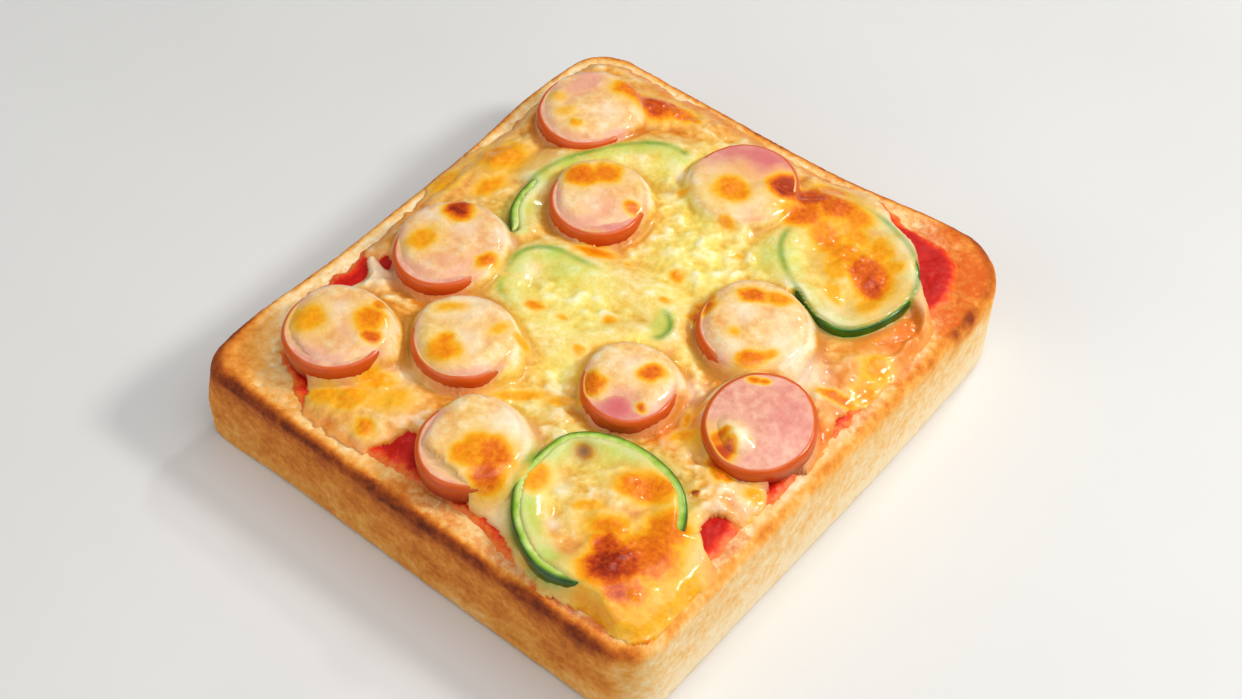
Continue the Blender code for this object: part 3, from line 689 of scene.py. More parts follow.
# %% Browned spots
# x, y, radius along, radius across in mm, angle in degrees, strength, rise of the blister in mm
SPOTS = (
    (-36.6, 49.6, 5, 3.8, 35, 0.62, 0.3), (-31.2, 51.4, 6, 4.4, 30, 0.76, 0.3),
    (-25.4, 53.6, 4.4, 3.2, 30, 0.64, 0.3), (-21.6, 54.2, 1.6, 1.3, 0, 0.55, 0.2),
    (-48.8, 16.6, 7.4, 6, 20, 0.5, 1), (-54.6, 4, 5, 3.8, 80, 0.47, 1.1),
    (-44.6, 8, 4, 2.6, 60, 0.5, 0.4), (-41, -5.6, 3.2, 3, 0, 0.9, 0.5),
    (-41.4, -17.2, 4, 3.2, 60, 0.48, 0.3), (-26.3, -13.1, 2.6, 1.8, 60, 0.6, 0.3),
    (-26.4, 18.8, 4.2, 3.4, 35, 0.62, 0.5), (-22.4, 22.6, 3.8, 3.2, 30, 0.6, 0.5),
    (-11.8, 18.6, 1.9, 1.6, 0, 0.62, 0.3), (1, 38.4, 4.6, 4.2, 0, 0.57, 0.4), (0, 43, 6, 5, 0, 0.22, 0),
    (9.6, 47.6, 4.6, 4.2, 40, 0.86, 1.2), (15, 50, 5.4, 4.4, 30, 0.76, 1.4),
    (21.2, 50.4, 5.4, 4.2, 20, 0.68, 1.1), (17, 44, 5.2, 4, 40, 0.66, 0.6),
    (26.8, 51, 4, 3, 0, 0.56, 0.6), (24.2, 42.6, 6, 4.2, -30, 0.56, 0.6),
    (30.4, 41, 5, 4.2, -30, 0.54, 0.4), (38, 38.8, 7.2, 5.2, -40, 0.71, 1.3),
    (40.4, 36.4, 4.4, 3.2, -40, 0.78, 0.8), (17, 56, 5, 2.6, 10, 0.54, 0.6),
    (-44, -49.6, 4.6, 4.2, 0, 0.48, 0.4), (-33.6, -41.6, 3.4, 3.6, 60, 0.58, 0.4),
    (-34.6, -37.6, 1.6, 1.4, 0, 0.6, 0.2), (-30, -44.8, 2.2, 1.8, 20, 0.7, 0.4),
    (-16, -38, 4, 3.4, 30, 0.55, 0.3), (-17.6, -35.4, 2.2, 2, 30, 0.54, 0.3),
    (-22.6, -28.4, 4, 1.6, 40, 0.4, 0.2), (-10.8, -26.4, 3, 1.4, 70, 0.4, 0.2),
    (-6.2, -24.6, 2.2, 1.4, 0, 0.44, 0.2), (-31.2, -58.4, 4.4, 2.6, 40, 0.45, 0.3),
    (-26.3, -56.6, 5.4, 3, 40, 0.47, 0.3), (-18.7, -59.4, 2.6, 2.2, 0, 0.54, 0.3),
    (-19.4, -51.3, 5.6, 3.4, 40, 0.4, 0.2), (-24.4, -49.6, 4.6, 2.4, 40, 0.46, 0.2),
    (5.6, -55, 3.8, 3.2, 0, 0.55, 0.3), (10, -51.4, 4.4, 4, 0, 0.64, 0.4),
    (11.6, -55.4, 3.6, 3.4, 30, 0.7, 0.4), (6.2, -51.6, 3.4, 3, 0, 0.52, 0.2),
    (-7.2, -47.4, 2, 1.4, 40, 0.6, 0.2), (17, 6.6, 3, 2.4, 60, 0.68, 0.4),
    (16, 9.6, 2.2, 1.8, 0, 0.6, 0.3), (24.4, 15, 3.4, 2.2, 30, 0.66, 0.7),
    (28.9, 17.4, 3.6, 1.8, 30, 0.54, 0.5), (27.2, 4.6, 1.8, 1.4, 0, 0.42, 0.2),
    (34.2, 1.4, 3.6, 2, 40, 0.6, 0.4), (36.4, 4, 2.2, 1.4, 60, 0.5, 0.3),
    (13.4, -25, 2.9, 2.7, 0, 0.62, 0.7), (21.4, -15.6, 3, 2.3, 40, 0.66, 0.6),
    (24.6, -23, 1.2, 1, 0, 0.66, 0.2), (38.6, -3.6, 1.6, 0.9, 30, 0.66, 0.3),
    (40.6, -2.6, 1.3, 0.8, 30, 0.66, 0.3), (43.6, -21, 2.9, 2.5, 0, 0.8, 0.7),
    (41, -18.6, 2.4, 1.4, 60, 0.62, 0.4), (45.6, -23.4, 2.6, 1.5, 20, 0.6, 0.2),
    (33, -13.6, 1.8, 1, 70, 0.5, 0.2), (31.4, -16.4, 2.4, 1, -70, 0.52, 0.3),
    # The spot at 33.6, -20 is painted shade in the gap between three rounds, not browning
    (33.6, -20, 2.8, 1.6, 40, 0.5, 0.2), (36.5, -36.4, 6.6, 3.6, 20, 0.6, 0.4),
    (18.4, -48.4, 2.4, 3.4, 0, 0.5, 0.3), (39.6, -34.2, 3.4, 2.6, 30, 0.56, 0.3),
    (30.4, -46.6, 4, 1.4, 30, 0.44, 0.2), (42.4, -55.4, 5.2, 5, 0, 0.9, 1.1),
    (44.6, -52.6, 5, 3.6, -30, 0.8, 0.9), (39.6, -51.4, 3.8, 3.2, 0, 0.78, 0.5),
    (47.6, -58.6, 3, 2.2, 30, 0.74, 0.9), (55, -53, 2.4, 1.9, 0, 0.42, 0.7),
    (52.2, -57.4, 3.2, 2.4, 30, 0.44, 0.5), (57.2, -48.8, 2.6, 4, 0, 0.44, 0.5),
    (46, -63, 7, 2.2, 0, 0.46, 0.3), (55, -61, 3, 3, 0, 0.44, 0.3), (43, -66.2, 6, 1.1, 0, 0.62, 0),
    (57, -61.8, 1.3, 3, -30, 0.6, 0), (52, -60, 6, 4.5, 0, 0.42, 0), (56, -50, 4, 7, 0, 0.4, 0),
    (36, -19.6, 4, 2.6, 30, 0.36, 0), (47.2, -49, 7.4, 6.6, 60, 0.66, 0.8),
    (46.4, -42, 5, 6, 10, 0.62, 0.6), (49, -57, 5, 3.6, 30, 0.6, 0.4), (37, -48, 5.4, 3.2, 20, 0.56, 0.3),
    (50.8, -49, 1.4, 4, 0, 0.5, 0.3), (-12.4, 6.6, 4.4, 2.4, 30, 0.56, 0.4),
    (5.6, 12.8, 2, 1.8, 0, 0.52, 0.3), (-11.8, -14.1, 2.3, 1.9, 0, 0.54, 0.2),
    (3.2, -7.1, 1.9, 1.6, 0, 0.48, 0.2), (3.8, -17.7, 1.9, 1.3, 0, 0.46, 0.2),
    (-5.2, -12.8, 1.4, 1.2, 0, 0.42, 0.1), (8.8, 4.4, 1.5, 1.2, 0, 0.44, 0.1),
    (5.6, 30.6, 2.4, 1.4, 10, 0.48, 0.2), (-4.6, 8.6, 1.3, 1.1, 0, 0.4, 0.1),
    (12.6, 26, 1.5, 1.1, 0, 0.4, 0.1), (-8.4, 32.4, 2, 1.3, 20, 0.4, 0.2),
    (0.6, -33.4, 6.6, 1.3, 38, 0.46, 0.2), (8.4, -29, 3.4, 1.2, 40, 0.44, 0.2),
    (53.4, 20, 3.2, 4, 0, 0.5, 0.4), (54.6, 14, 2.6, 3, 0, 0.52, 0.3),
    # The spot at 44.2, -30.2 sinks in as a pit, and its darkest browning is partly painted shade in the
    # pit
    (51.2, 8.6, 4.4, 1.4, 20, 0.62, 0.3), (44.2, -30.2, 0.9, 0.9, 0, 1, -0.5),
    (21.3, -37, 2, 1.8, 0, 0.5, -1.9), (-48.6, 36, 2.6, 2, 0, 0.36, 0.2),
    (-39.4, 32, 1.8, 1.5, 0, 0.46, 0.2), (-43.6, 33.4, 2.6, 1.7, 20, 0.36, 0.1),
    (52.6, -22, 2.4, 2, 0, 0.42, 0.2), (57, -26, 1.8, 3, 0, 0.44, 0.2),
    (27.6, -62.6, 2, 1.4, 0, 0.36, 0.2), (56, -56.4, 3.6, 2.6, 0, 0.44, 0.2),
    (50, -62, 3.4, 2.2, 20, 0.46, 0.2), (31, 36, 5, 3.2, -40, 0.46, 0.3), (28, 47, 5, 3, -20, 0.5, 0.4),
    (36, 46, 4, 3, 0, 0.5, 0.4), (43, 32, 3, 4, 0, 0.44, 0.2), (35, 30, 4, 2, -40, 0.42, 0.2),
    (41, 44, 3, 2.4, 0, 0.46, 0.3),
)
DOME_GAIN = 1.3


def browned_by_spots(x, y):
    """How browned a place is, from 0 to 1, and how far it has risen, in mm."""
    warp_x, warp_y = (0.8 * smooth_noise(x, y, 0, size=3.4, seed=seed)
                      + 0.15 * smooth_noise(x, y, 0, size=1.2, seed=seed + 1) for seed in (61, 63))
    amount, rise = 0 * x, 0 * x
    for centre_x, centre_y, along, across, angle, strength, lift in SPOTS:
        cos, sin = math.cos(math.radians(angle)), math.sin(math.radians(angle))
        warp = min(1.0, across / 2.5)
        from_x, from_y = x - centre_x + warp * warp_x, y - centre_y + warp * warp_y
        reach = np.hypot((from_x * cos + from_y * sin) / along, (from_y * cos - from_x * sin) / across)
        core, halo = ramp(reach, 1.45, 0.35), ramp(reach, 2.1, 0.5)
        amount = np.maximum(amount, strength * (0.45 * core + 0.55 * halo))
        dome = DOME_GAIN * lift * np.clip(1 - reach ** 2 / 1.7, 0, 1) ** 0.8
        rise = np.where(lift < 0, np.minimum(rise, dome), np.maximum(rise, dome))
    return amount, rise


print("browned spots:", len(SPOTS))

# %% [markdown]
# Where the film of cheese over a round is thick, thin or missing shows as cream, rose or bare
# pink. The film is a thickness in mm for every place: a level for each round, bare and thick
# places on it, and some noise, so that its edge wanders.

# %% Film of cheese over the rounds
# One value for each round in order: the level of its film in mm
FILM_LEVELS = (0.45, 0.40, 0.35, 0.30, 0.35, 0.80, 0.75, 0.75, -1.40, 0.75)
# Its side where the film breaks off and its casing shows: direction and half width in degrees
BARE_SIDES = (
    (-95, 75), (-80, 85), (-95, 55), (100, 60), (-90, 85),
    (-85, 70), (-140, 45), (-75, 90), (-10, 110), (-120, 75),
)
# The bare side fades over these angles past and before its half width
FADE_OUT, FADE_IN = 38, 22
BARE_CUT = 2.2
for entry, level, side in zip(rounds.values(), FILM_LEVELS, BARE_SIDES):
    entry["film"], entry["bare_side"] = level, side
# x, y, radius in mm and how much thicker the film is there, in mm
FILM_PLACES = (
    (-5.6, 49.4, 6, -1.3), (-49, 43, 7, -0.7), (-39, 36, 6, 0.35), (-13, 11, 6, -0.6), (-24, 12, 5, 0.15),
    (-26.5, -19, 6, -0.4), (-44, -12, 6, 0.2), (1, 52, 8.5, -2), (9, 40, 5, 0.3), (-2, 36, 6, 0.3),
    (-36, -52, 5, -0.3), (-42, -43, 5, 0.2), (20.6, -26, 4.4, -2.2), (14, -17, 5, 0.3), (37, 12, 6, 0.4),
    (30, 7, 6, 0.2), (22, 3, 4, -0.2), (44, -16.5, 3.6, 1.3), (40, -15, 3, 0.9), (44.6, -17, 3.4, 1.6),
    (0, -46, 6, 0.4), (8, -45, 5, 0.4), (-6, -53, 4, -0.3),
)


def bareness(entry, x, y):
    """One on the side of a round where the film broke off, and nothing on its other side."""
    direction = np.degrees(np.arctan2(y - entry["middle"].y, x - entry["middle"].x))
    facing, half_width = entry["bare_side"]
    turned_away = np.abs((direction - facing + 180) % 360 - 180)
    return ramp(turned_away, half_width + FADE_OUT, half_width - FADE_IN)


def film_thickness(entry, x, y):
    """Thickness in mm of the cheese on top of a round. Below zero the round is bare."""
    film = entry["film"] + 0.2 * layered_noise(x, y, 0, size=5.0, seed=71)
    film = film + 0.09 * smooth_noise(x, y, 0, size=1.9, seed=74)
    film = add_humps(film, FILM_PLACES, x, y)
    return film - BARE_CUT * bareness(entry, x, y) * ramp(round_reach(entry, x, y), 0.62, 1.06)


print("film levels, mm:", FILM_LEVELS)

# %% [markdown]
# A sausage round is a turned shape, with a slightly domed cut face, a rounded edge of casing, a
# wall and a flat underside. Heat makes it swell unevenly, so its radius and its face wander a
# little. Its meat is finely minced, rose pink with pale flecks, and its casing is tan to red
# where fat and sauce coloured it. Towards the foot the casing darkens to deep red, which is
# partly that stain and partly painted shade under the round.

# %% Cured sausage
MEAT_STOPS = [(0.3, "#E0907C"), (0.5, "#EAA890"), (0.68, "#F3C0A6")]
# Casing colours from the rim to the foot: the darkening towards the foot is partly sauce stain and partly
# painted shade
CASING_AND_SHADE_STOPS = [
    (0.0, "#E58A50"), (0.16, "#D2601E"), (0.30, "#D65C12"), (0.55, "#C43C08"), (0.8, "#A02006"),
    (1.0, "#761206"),
]
BROWN_STOPS = [
    (0.00, "#FBDC90"), (0.24, "#FACB5E"), (0.40, "#F8B420"), (0.52, "#F49602"), (0.63, "#E87402"),
    (0.75, "#D05004"), (0.87, "#A83006"), (1.00, "#701A06"),
]
MINCE_MM, FLECK_MM, FACE_GRAIN_MM = 2.2, 0.9, 0.7
sausage, tree, shader = new_material("cured_sausage")
flecks = grain(tree, FLECK_MM, detail=0.0, kind="Voronoi", output="Distance")
tone = colours(tree, grain(tree, MINCE_MM, detail=5.0, roughness=0.6), MEAT_STOPS)
tone = lay_over(tree, rescale(tree, flecks, (0.10, 0.35), (0.25, 0.0)), tone, "#F3C3B2")
tone = lay_over(tree, carried(tree, "cured"), tone, "#D5606A")
casing = carried(tree, "casing")
tone = lay_over(tree, rescale(tree, casing, (0.02, 0.30)), tone, colours(tree, casing, CASING_AND_SHADE_STOPS))
tone = lay_over(tree, carried(tree, "film"), tone, "#F4C68E")
brown = carried(tree, "browning")
tone = lay_over(tree, rescale(tree, brown, (0.04, 0.40)), tone, colours(tree, brown, BROWN_STOPS))
face_grain = grain(tree, FACE_GRAIN_MM, detail=3.0)
set_inputs(tree, shader, {
    "Base Color": tone, "Normal": bump(tree, face_grain, strength=0.35, depth_mm=0.15),
    "Roughness": 0.34, "IOR": 1.42, "Specular IOR Level": 0.3, "Coat Weight": 0.35, "Coat Roughness": 0.18,
    "Subsurface Weight": 0.2, "Subsurface Radius": (1.0, 0.35, 0.22), "Subsurface Scale": 1.5 * MM,
})
print("casing colours:", len(CASING_AND_SHADE_STOPS))

# %% [markdown]
# Each round is made of rows of points about its own axis, then turned and moved to the place of
# its solid. Casing is a value from 0 on the cut face to 1 at the foot. The cut face takes its
# browned spots from the same list as the cheese.

# %% Sausage rounds
ROUND_COLUMNS = 120
# x, y, radius in mm and strength of the places where the bare meat stayed deep pink
CURED_PLACES = (
    (1, 51, 8, 0.8), (-6, 49, 6, 0.6), (20.8, -25.8, 4.4, 0.9), (-12.5, 10.5, 4.5, 0.6),
    (49, -6, 5, 0.35), (44, 2, 5, 0.25), (-49, 44, 5, 0.2), (22, 20, 3, 0.2), (-26, -22, 5, 0.2),
)
FACE_REACHES = np.linspace(0.03, 1.0, 16)
EDGE_ANGLES = np.radians(np.linspace(15, 90, 6))
WALL_ROWS = 7
# How unevenly a round swells, as a share of its radius, and the depth of its dents and its curl in mm
SWELL_UNEVEN, DENT_DEPTH, CURL_HEIGHT = 0.012, 0.14, 0.08


def round_rows(entry):
    """Radius share, height from the round's middle and how far down the casing, for each row."""
    half = entry["thickness"] / 2
    edge = CASING_ROUNDING / entry["across"]
    rim_height = half - FACE_DOME
    for reach in FACE_REACHES:
        yield reach * (1 - edge), rim_height + FACE_DOME * (1 - reach ** 2), 0.0
    for sin, cos in zip(np.sin(EDGE_ANGLES), np.cos(EDGE_ANGLES)):
        yield 1 - edge + sin * edge, rim_height - CASING_ROUNDING * (1 - cos), 0.24 + 0.15 * sin
    wall = np.linspace(rim_height - CASING_ROUNDING, -half + CASING_ROUNDING, WALL_ROWS + 1)
    for step, height_mm in enumerate(wall[1:]):
        yield 1.0, height_mm, 0.4 + 0.5 * step / (WALL_ROWS - 1)
    for sin, cos in zip(np.sin(EDGE_ANGLES), np.cos(EDGE_ANGLES)):
        yield 1 - (1 - cos) * edge, -half + CASING_ROUNDING * (1 - sin), 1.0
    yield 0.04, -half, 1.0


def make_round(name, entry, number):
    table = np.array(list(round_rows(entry)))
    angle = np.arange(ROUND_COLUMNS) / ROUND_COLUMNS * 2 * math.pi
    reach, height_mm, casing = (table[:, k][:, None] + 0 * angle for k in range(3))
    swell = smooth_noise(3 * np.cos(angle), 3 * np.sin(angle), number * 5.0, size=1.6, seed=81)
    swell = 1 - SWELL_UNEVEN * (1 + swell)
    local_x = reach * entry["across"] * np.cos(angle) * swell
    local_y = reach * entry["along"] * np.sin(angle) * swell
    on_face = ramp(height_mm, 0, entry["thickness"] / 2 - FACE_DOME)
    dents = DENT_DEPTH * (layered_noise(local_x, local_y, number * 9.0, size=6.0, seed=82) - 1) * on_face
    curl = CURL_HEIGHT * on_face * ramp(reach, 0.72, 0.93) * ramp(reach, 1.0, 0.95)
    points = points_of(local_x, local_y, height_mm + dents + curl)
    points = points @ np.array(entry["turn"]).T + np.array(entry["middle"])
    x, y = (points[:, k].reshape(reach.shape) for k in (0, 1))
    film = ramp(film_thickness(entry, x, y), -1.0, 0.1)
    film = film * (0.9 + 0.1 * smooth_noise(x, y, 0, size=1.6, seed=83))
    values = {
        "casing": casing, "film": film * ramp(casing, 0.45, 0.1), "cured": strongest(CURED_PLACES, x, y),
        "browning": browned_by_spots(x, y)[0] * ramp(casing, 0.34, 0.18),
    }
    faces = lofted_faces(len(table), ROUND_COLUMNS)
    make_piece(name + "_round", points, faces, values, sausage, [name])


for number, (name, entry) in enumerate(rounds.items()):
    make_round(name, entry, number)

# %% [markdown]
# The pepper rings are slices across a green pepper. Each follows the lobes of the pepper along
# a smooth loop through a few points of its skin. The band is thicker at the ribs. Its outside is
# waxy dark green skin, and the cut face and the inside are pale, moist flesh.

# %% Pepper rings
PEPPER_BASE, PEPPER_HEIGHT, PEPPER_WALL = 25.5, 4.0, 2.6
PEPPER_TOP = PEPPER_BASE + PEPPER_HEIGHT
STEPS_PER_SPAN = 16
# Name of the ring: whether it is closed, and the points of its skin, x and y in mm
PEPPER_LOOPS = {
    "pepper_front": (True, (
        (14.4, -44.6), (15.6, -35.6), (22.6, -30.2), (32, -28.6), (42.4, -31.4), (49, -40), (48.6, -52.6),
        (42, -61.2), (32, -64.2), (21.6, -59.4), (15.6, -51.8))),
    "pepper_right": (True, (
        (16.8, 42.4), (21, 50.8), (29, 54.4), (39.4, 51.6), (46.4, 46.4), (49.4, 38.6), (48.2, 29.6),
        (43.6, 22.4), (36.6, 21.2), (29.6, 24.2), (22.8, 28.2), (17.6, 34))),
    "pepper_centre": (True, (
        (-20.6, -15.8), (-23.6, -10), (-24.2, -4), (-19.4, 1), (-11.4, 2.2), (-2, 3.4), (7.4, 3.6),
        (14, 0.4), (15, -4.6), (8.4, -9.6), (2.6, -16.6), (-6.6, -18.6), (-14.4, -18.4))),
    "pepper_back": (False, (
        (-30.6, -0.6), (-35.4, 4.6), (-37.4, 12.6), (-36.4, 21.6), (-32.6, 29.4), (-26.8, 37.4),
        (-20.6, 41.8), (-15.4, 42.6))),
}


def smooth_loop(points, closed):
    """A smooth curve through the given points, as an array of places in mm."""
    points = np.array(points)
    count = len(points)
    share = np.arange(STEPS_PER_SPAN)[:, None] / STEPS_PER_SPAN
    parts = []
    for span in range(count if closed else count - 1):
        index = [span - 1, span, span + 1, span + 2]
        index = [k % count if closed else min(max(k, 0), count - 1) for k in index]
        before, start, end, after = (points[k] for k in index)
        parts.append(0.5 * (2 * start + (end - before) * share
                            + (2 * before - 5 * start + 4 * end - after) * share ** 2
                            + (3 * start - before - 3 * end + after) * share ** 3))
    if not closed:
        parts.append(points[-1:])
    return np.concatenate(parts)


def sideways(path, closed):
    """The direction to the right of a path at each of its points, towards the flesh."""
    if closed:
        along = np.roll(path, -1, 0) - np.roll(path, 1, 0)
    else:
        along = np.gradient(path, axis=0)
    along = along / np.linalg.norm(along, axis=1)[:, None]
    return np.stack([along[:, 1], -along[:, 0]], 1)


loops = {name: smooth_loop(points, closed) for name, (closed, points) in PEPPER_LOOPS.items()}
print("points round each ring:", {name: len(loop) for name, loop in loops.items()})

# %% [markdown]
# The section of the band is a loop of points: across the wall from skin to pith, and up from
# the sauce. The skin side is fuller at half height, and the pith side has soft ribs. A value
# named skin is one on the outside and falls off within half a millimetre over the cut edge.
# The flesh is mostly water, with an IOR near 1.40 and a wet gloss.

# %% Shape and finish of the pepper
SECTION_COLUMNS = 28
FLESH_MM, SKIN_MM = 3.0, 6.0
# How much the ribs thicken the wall, how square its section is, and its sag and ripples in mm
RIB_SHARE, FULL_ACROSS, FULL_UP = 0.08, 0.55, 0.45
SAG, RIPPLE = 0.25, 0.07


def make_pepper(name, closed, loop):
    path_x, path_y = loop[:, :1], loop[:, 1:]
    side = sideways(loop, closed)
    wall = PEPPER_WALL * (1 - RIB_SHARE + RIB_SHARE * smooth_noise(path_x, path_y, 0, size=5.0, seed=91))
    if not closed:
        ends = np.minimum(np.arange(len(loop)), np.arange(len(loop))[::-1])[:, None]
        wall = wall * np.sqrt(np.clip((ends + 0.3) / 6, 0, 1))
    angle = np.arange(SECTION_COLUMNS) / SECTION_COLUMNS * 2 * math.pi
    fullness = np.sign(np.cos(angle)) * np.abs(np.cos(angle)) ** FULL_ACROSS
    up_mm = PEPPER_HEIGHT / 2 * (np.sign(np.sin(angle)) * np.abs(np.sin(angle)) ** FULL_UP)
    across = wall * (0.5 + 0.5 * fullness)
    sag = SAG * smooth_noise(path_x, path_y, 0, size=9.0, seed=92) - SAG
    x = path_x + side[:, :1] * across
    y = path_y + side[:, 1:] * across
    z = PEPPER_BASE + PEPPER_HEIGHT / 2 + up_mm * (1 + 0.5 * sag / PEPPER_HEIGHT) + 0.5 * sag
    points = points_of(x, y, z + RIPPLE * smooth_noise(x, y, z, size=1.4, seed=93))
    faces = rings_to_faces(len(loop), SECTION_COLUMNS, closed_rows=closed)
    if not closed:
        faces.append(tuple(reversed(range(SECTION_COLUMNS))))
        faces.append(tuple(range(len(points) - SECTION_COLUMNS, len(points))))
    values = {"skin": ramp(-fullness, -0.05, 0.80) + 0 * x, "pith": ramp(across / wall, 0.55, 1.0)}
    make_piece(name + "_ring", points, faces, values, pepper, [name])


pepper, tree, shader = new_material("green_bell_pepper")
flesh = grain(tree, FLESH_MM, detail=4.0)
tone = colours(tree, flesh, [(0.3, "#8CB82C"), (0.5, "#AECE50"), (0.7, "#D4E48C")])
tone = lay_over(tree, carried(tree, "pith"), tone, "#E2E69A")
skin_grain = grain(tree, SKIN_MM, detail=3.0)
skin_tone = colours(tree, skin_grain, [(0.3, "#163C02"), (0.5, "#245804"), (0.7, "#3F7E0A")])
set_inputs(tree, shader, {
    "Base Color": lay_over(tree, carried(tree, "skin"), tone, skin_tone),
    "Normal": bump(tree, flesh, strength=0.3, depth_mm=0.2),
    "Roughness": 0.25, "IOR": 1.40, "Coat Weight": 0.3, "Coat Roughness": 0.12,
    "Subsurface Weight": 0.22, "Subsurface Radius": (0.5, 1.0, 0.25), "Subsurface Scale": 1.6 * MM,
})
for name, (closed, _) in PEPPER_LOOPS.items():
    make_pepper(name, closed, loops[name])

# %% [markdown]
# The melted cheese is one continuous sheet, so it is built as heights over a fine grid. Each
# rule adds what the real melting did: an even coat with a rounded edge, mounds where more was
# strewn, shreds that kept their form in the yellow middle, blisters, and a film drawn up and
# over the rounds and the pepper. Where the height falls below what lies there, that shows.

# %% The cheese's grid and edge
GRID_STEP = 0.56
CHEESE_MARGIN, RIM_KEPT_BARE = 4.4, 1.8
COAT_THICKNESS = 2.1
columns = np.arange(-58.5, 59.5, GRID_STEP)
lines = np.arange(-66.5, 66.5, GRID_STEP)
grid_x, grid_y = grid = np.meshgrid(columns, lines)


def wander(size, seed, layers=1):
    """Noise over the cheese's grid."""
    return layered_noise(*grid, 0, size, seed, layers)


# Where the cheese drew back and bared the sauce: x, y, radius and how far, in mm
BAYS = (
    (50, 51, 8, 9), (43, 56, 7, 9), (54.5, 46, 4, 6), (-51, -30, 4.6, 10), (-46.6, -22.4, 3.8, 10),
    (35, 58, 5.5, 7), (46.5, 49, 5, 5), (-43.6, -56.4, 3, 7), (-39, -57.4, 2.4, 5), (-40, -60, 5, 8),
    (-53, -57, 9, 12), (-8.5, -60, 5.5, 10), (0, -62, 6, 8), (7, -62.5, 5, 6), (-10.5, -54, 3, 9),
    (15, -63.5, 6, 4), (51.5, -33, 3.4, 11), (54.5, -36.5, 2.4, 7), (54, -15.5, 3.6, 6), (20, -65, 4, 3),
    (44, -68, 5, 1.6), (-56, -40, 5, 2), (30, 62, 5, 1.5), (57, 5, 5, 2.5),
)
# Where the cheese ran out further over the rim: x, y, radius and how far, in mm
SPILLS = (
    (58, -46, 9, 3), (56, -58, 7, 2.6), (-54, 12, 8, 2.2), (-22, 62, 8, 1.6), (20, 60, 8, 1.2),
    (-50, -25, 1.1, 9), (-48.4, -25.7, 1.2, 10), (-46.8, -26.4, 1.2, 10), (-45.2, -27.1, 1.3, 10),
    (-43.6, -27.8, 1.4, 9), (-56, 5, 8, 3),
)
inside = depth_inside(*grid) - CHEESE_MARGIN
for share, size, seed in ((1.0, 9.0, 101), (0.5, 3.0, 102), (0.5, 1.8, 103)):
    inside = inside + share * wander(size, seed)
inside = add_humps(inside, BAYS, *grid, -1.0)
inside = add_humps(inside, SPILLS, *grid)
inside = np.minimum(inside, 1.6 * (depth_inside(*grid) - RIM_KEPT_BARE))
print("grid of the cheese:", grid_x.shape)

# %% [markdown]
# Shredded cheese melts from the top down. In the middle of the slice it kept the most moisture,
# so the shreds there only softened and still lie crisscross, pale on top with yellow between.
# Each shred is a short bent rod, half sunk in the coat.

# %% Shreds of cheese
# x, y, radius of the zone in mm, number of shreds, height in mm
SHRED_ZONES = (
    (-4, -7, 12, 12, 0.7), (6, 20, 13, 14, 0.7), (22, 33, 9, 8, 0.6), (-2, 33, 7, 6, 0.6),
    (42, 8, 8, 14, 0.8), (30, -46, 8, 8, 0.6), (52, -26, 6, 10, 0.8), (-30, -25, 8, 10, 0.6),
    (0, 0, 58, 110, 0.5), (48, -57, 7, 16, 0.7), (52, -46, 5, 12, 0.7), (50, 22, 6, 10, 0.6),
    (24, -2, 7, 10, 0.7), (4, -25, 7, 10, 0.7),
)
SHRED_HALF_WIDTH, SHRED_STEP, SHRED_LENGTHS, SHRED_SEED = 1.05, 0.8, (5, 15), 5


def lay_shreds(x, y, seed):
    """Height in mm that the shreds add at each place of the grid."""
    chance = np.random.default_rng(seed)
    shreds = 0 * x
    for centre_x, centre_y, radius, number, high in SHRED_ZONES:
        for _ in range(number):
            start = np.array([centre_x, centre_y]) + chance.normal(0, radius * 0.55, 2)
            heading, bend = chance.uniform(0, 2 * math.pi), chance.normal(0, 0.10)
            length, lift = chance.uniform(*SHRED_LENGTHS), high * chance.uniform(0.6, 1.1)
            half_width = SHRED_HALF_WIDTH * chance.uniform(0.75, 1.2)
            turned = heading + bend * np.arange(0, length, SHRED_STEP)
            path = start + np.cumsum(SHRED_STEP * np.stack([np.cos(turned), np.sin(turned)], 1), 0)
            low_x, high_x = np.searchsorted(columns, [path[:, 0].min() - 2, path[:, 0].max() + 2])
            low_y, high_y = np.searchsorted(lines, [path[:, 1].min() - 2, path[:, 1].max() + 2])
            window = (slice(low_y, high_y), slice(low_x, high_x))
            if x[window].size == 0:
                continue
            apart_x, apart_y = x[window][..., None] - path[:, 0], y[window][..., None] - path[:, 1]
            distance = np.sqrt(np.min(apart_x ** 2 + apart_y ** 2, -1))
            rod = lift * np.sqrt(np.clip(1 - (distance / half_width) ** 2, 0, 1))
            shreds[window] = np.maximum(shreds[window], rod) + 0.25 * np.minimum(shreds[window], rod)
    return shreds


def soften(field, passes):
    """Melt a field of heights by averaging it with its neighbours."""
    for _ in range(passes):
        for axis in (0, 1):
            field = (np.roll(field, 1, axis) + 2 * field + np.roll(field, -1, axis)) / 4
    return field


shreds = soften(0.9 * lay_shreds(*grid, SHRED_SEED), 2)
print("highest shred, mm:", round(float(shreds.max()), 2))

# %% [markdown]
# The coat lies on the sauce. It is thicker in mounds, in soft lumps and in blisters, and it
# climbs the wall of each round except where the film broke off. At the near corner the fat
# boiled, which left small bubbles.

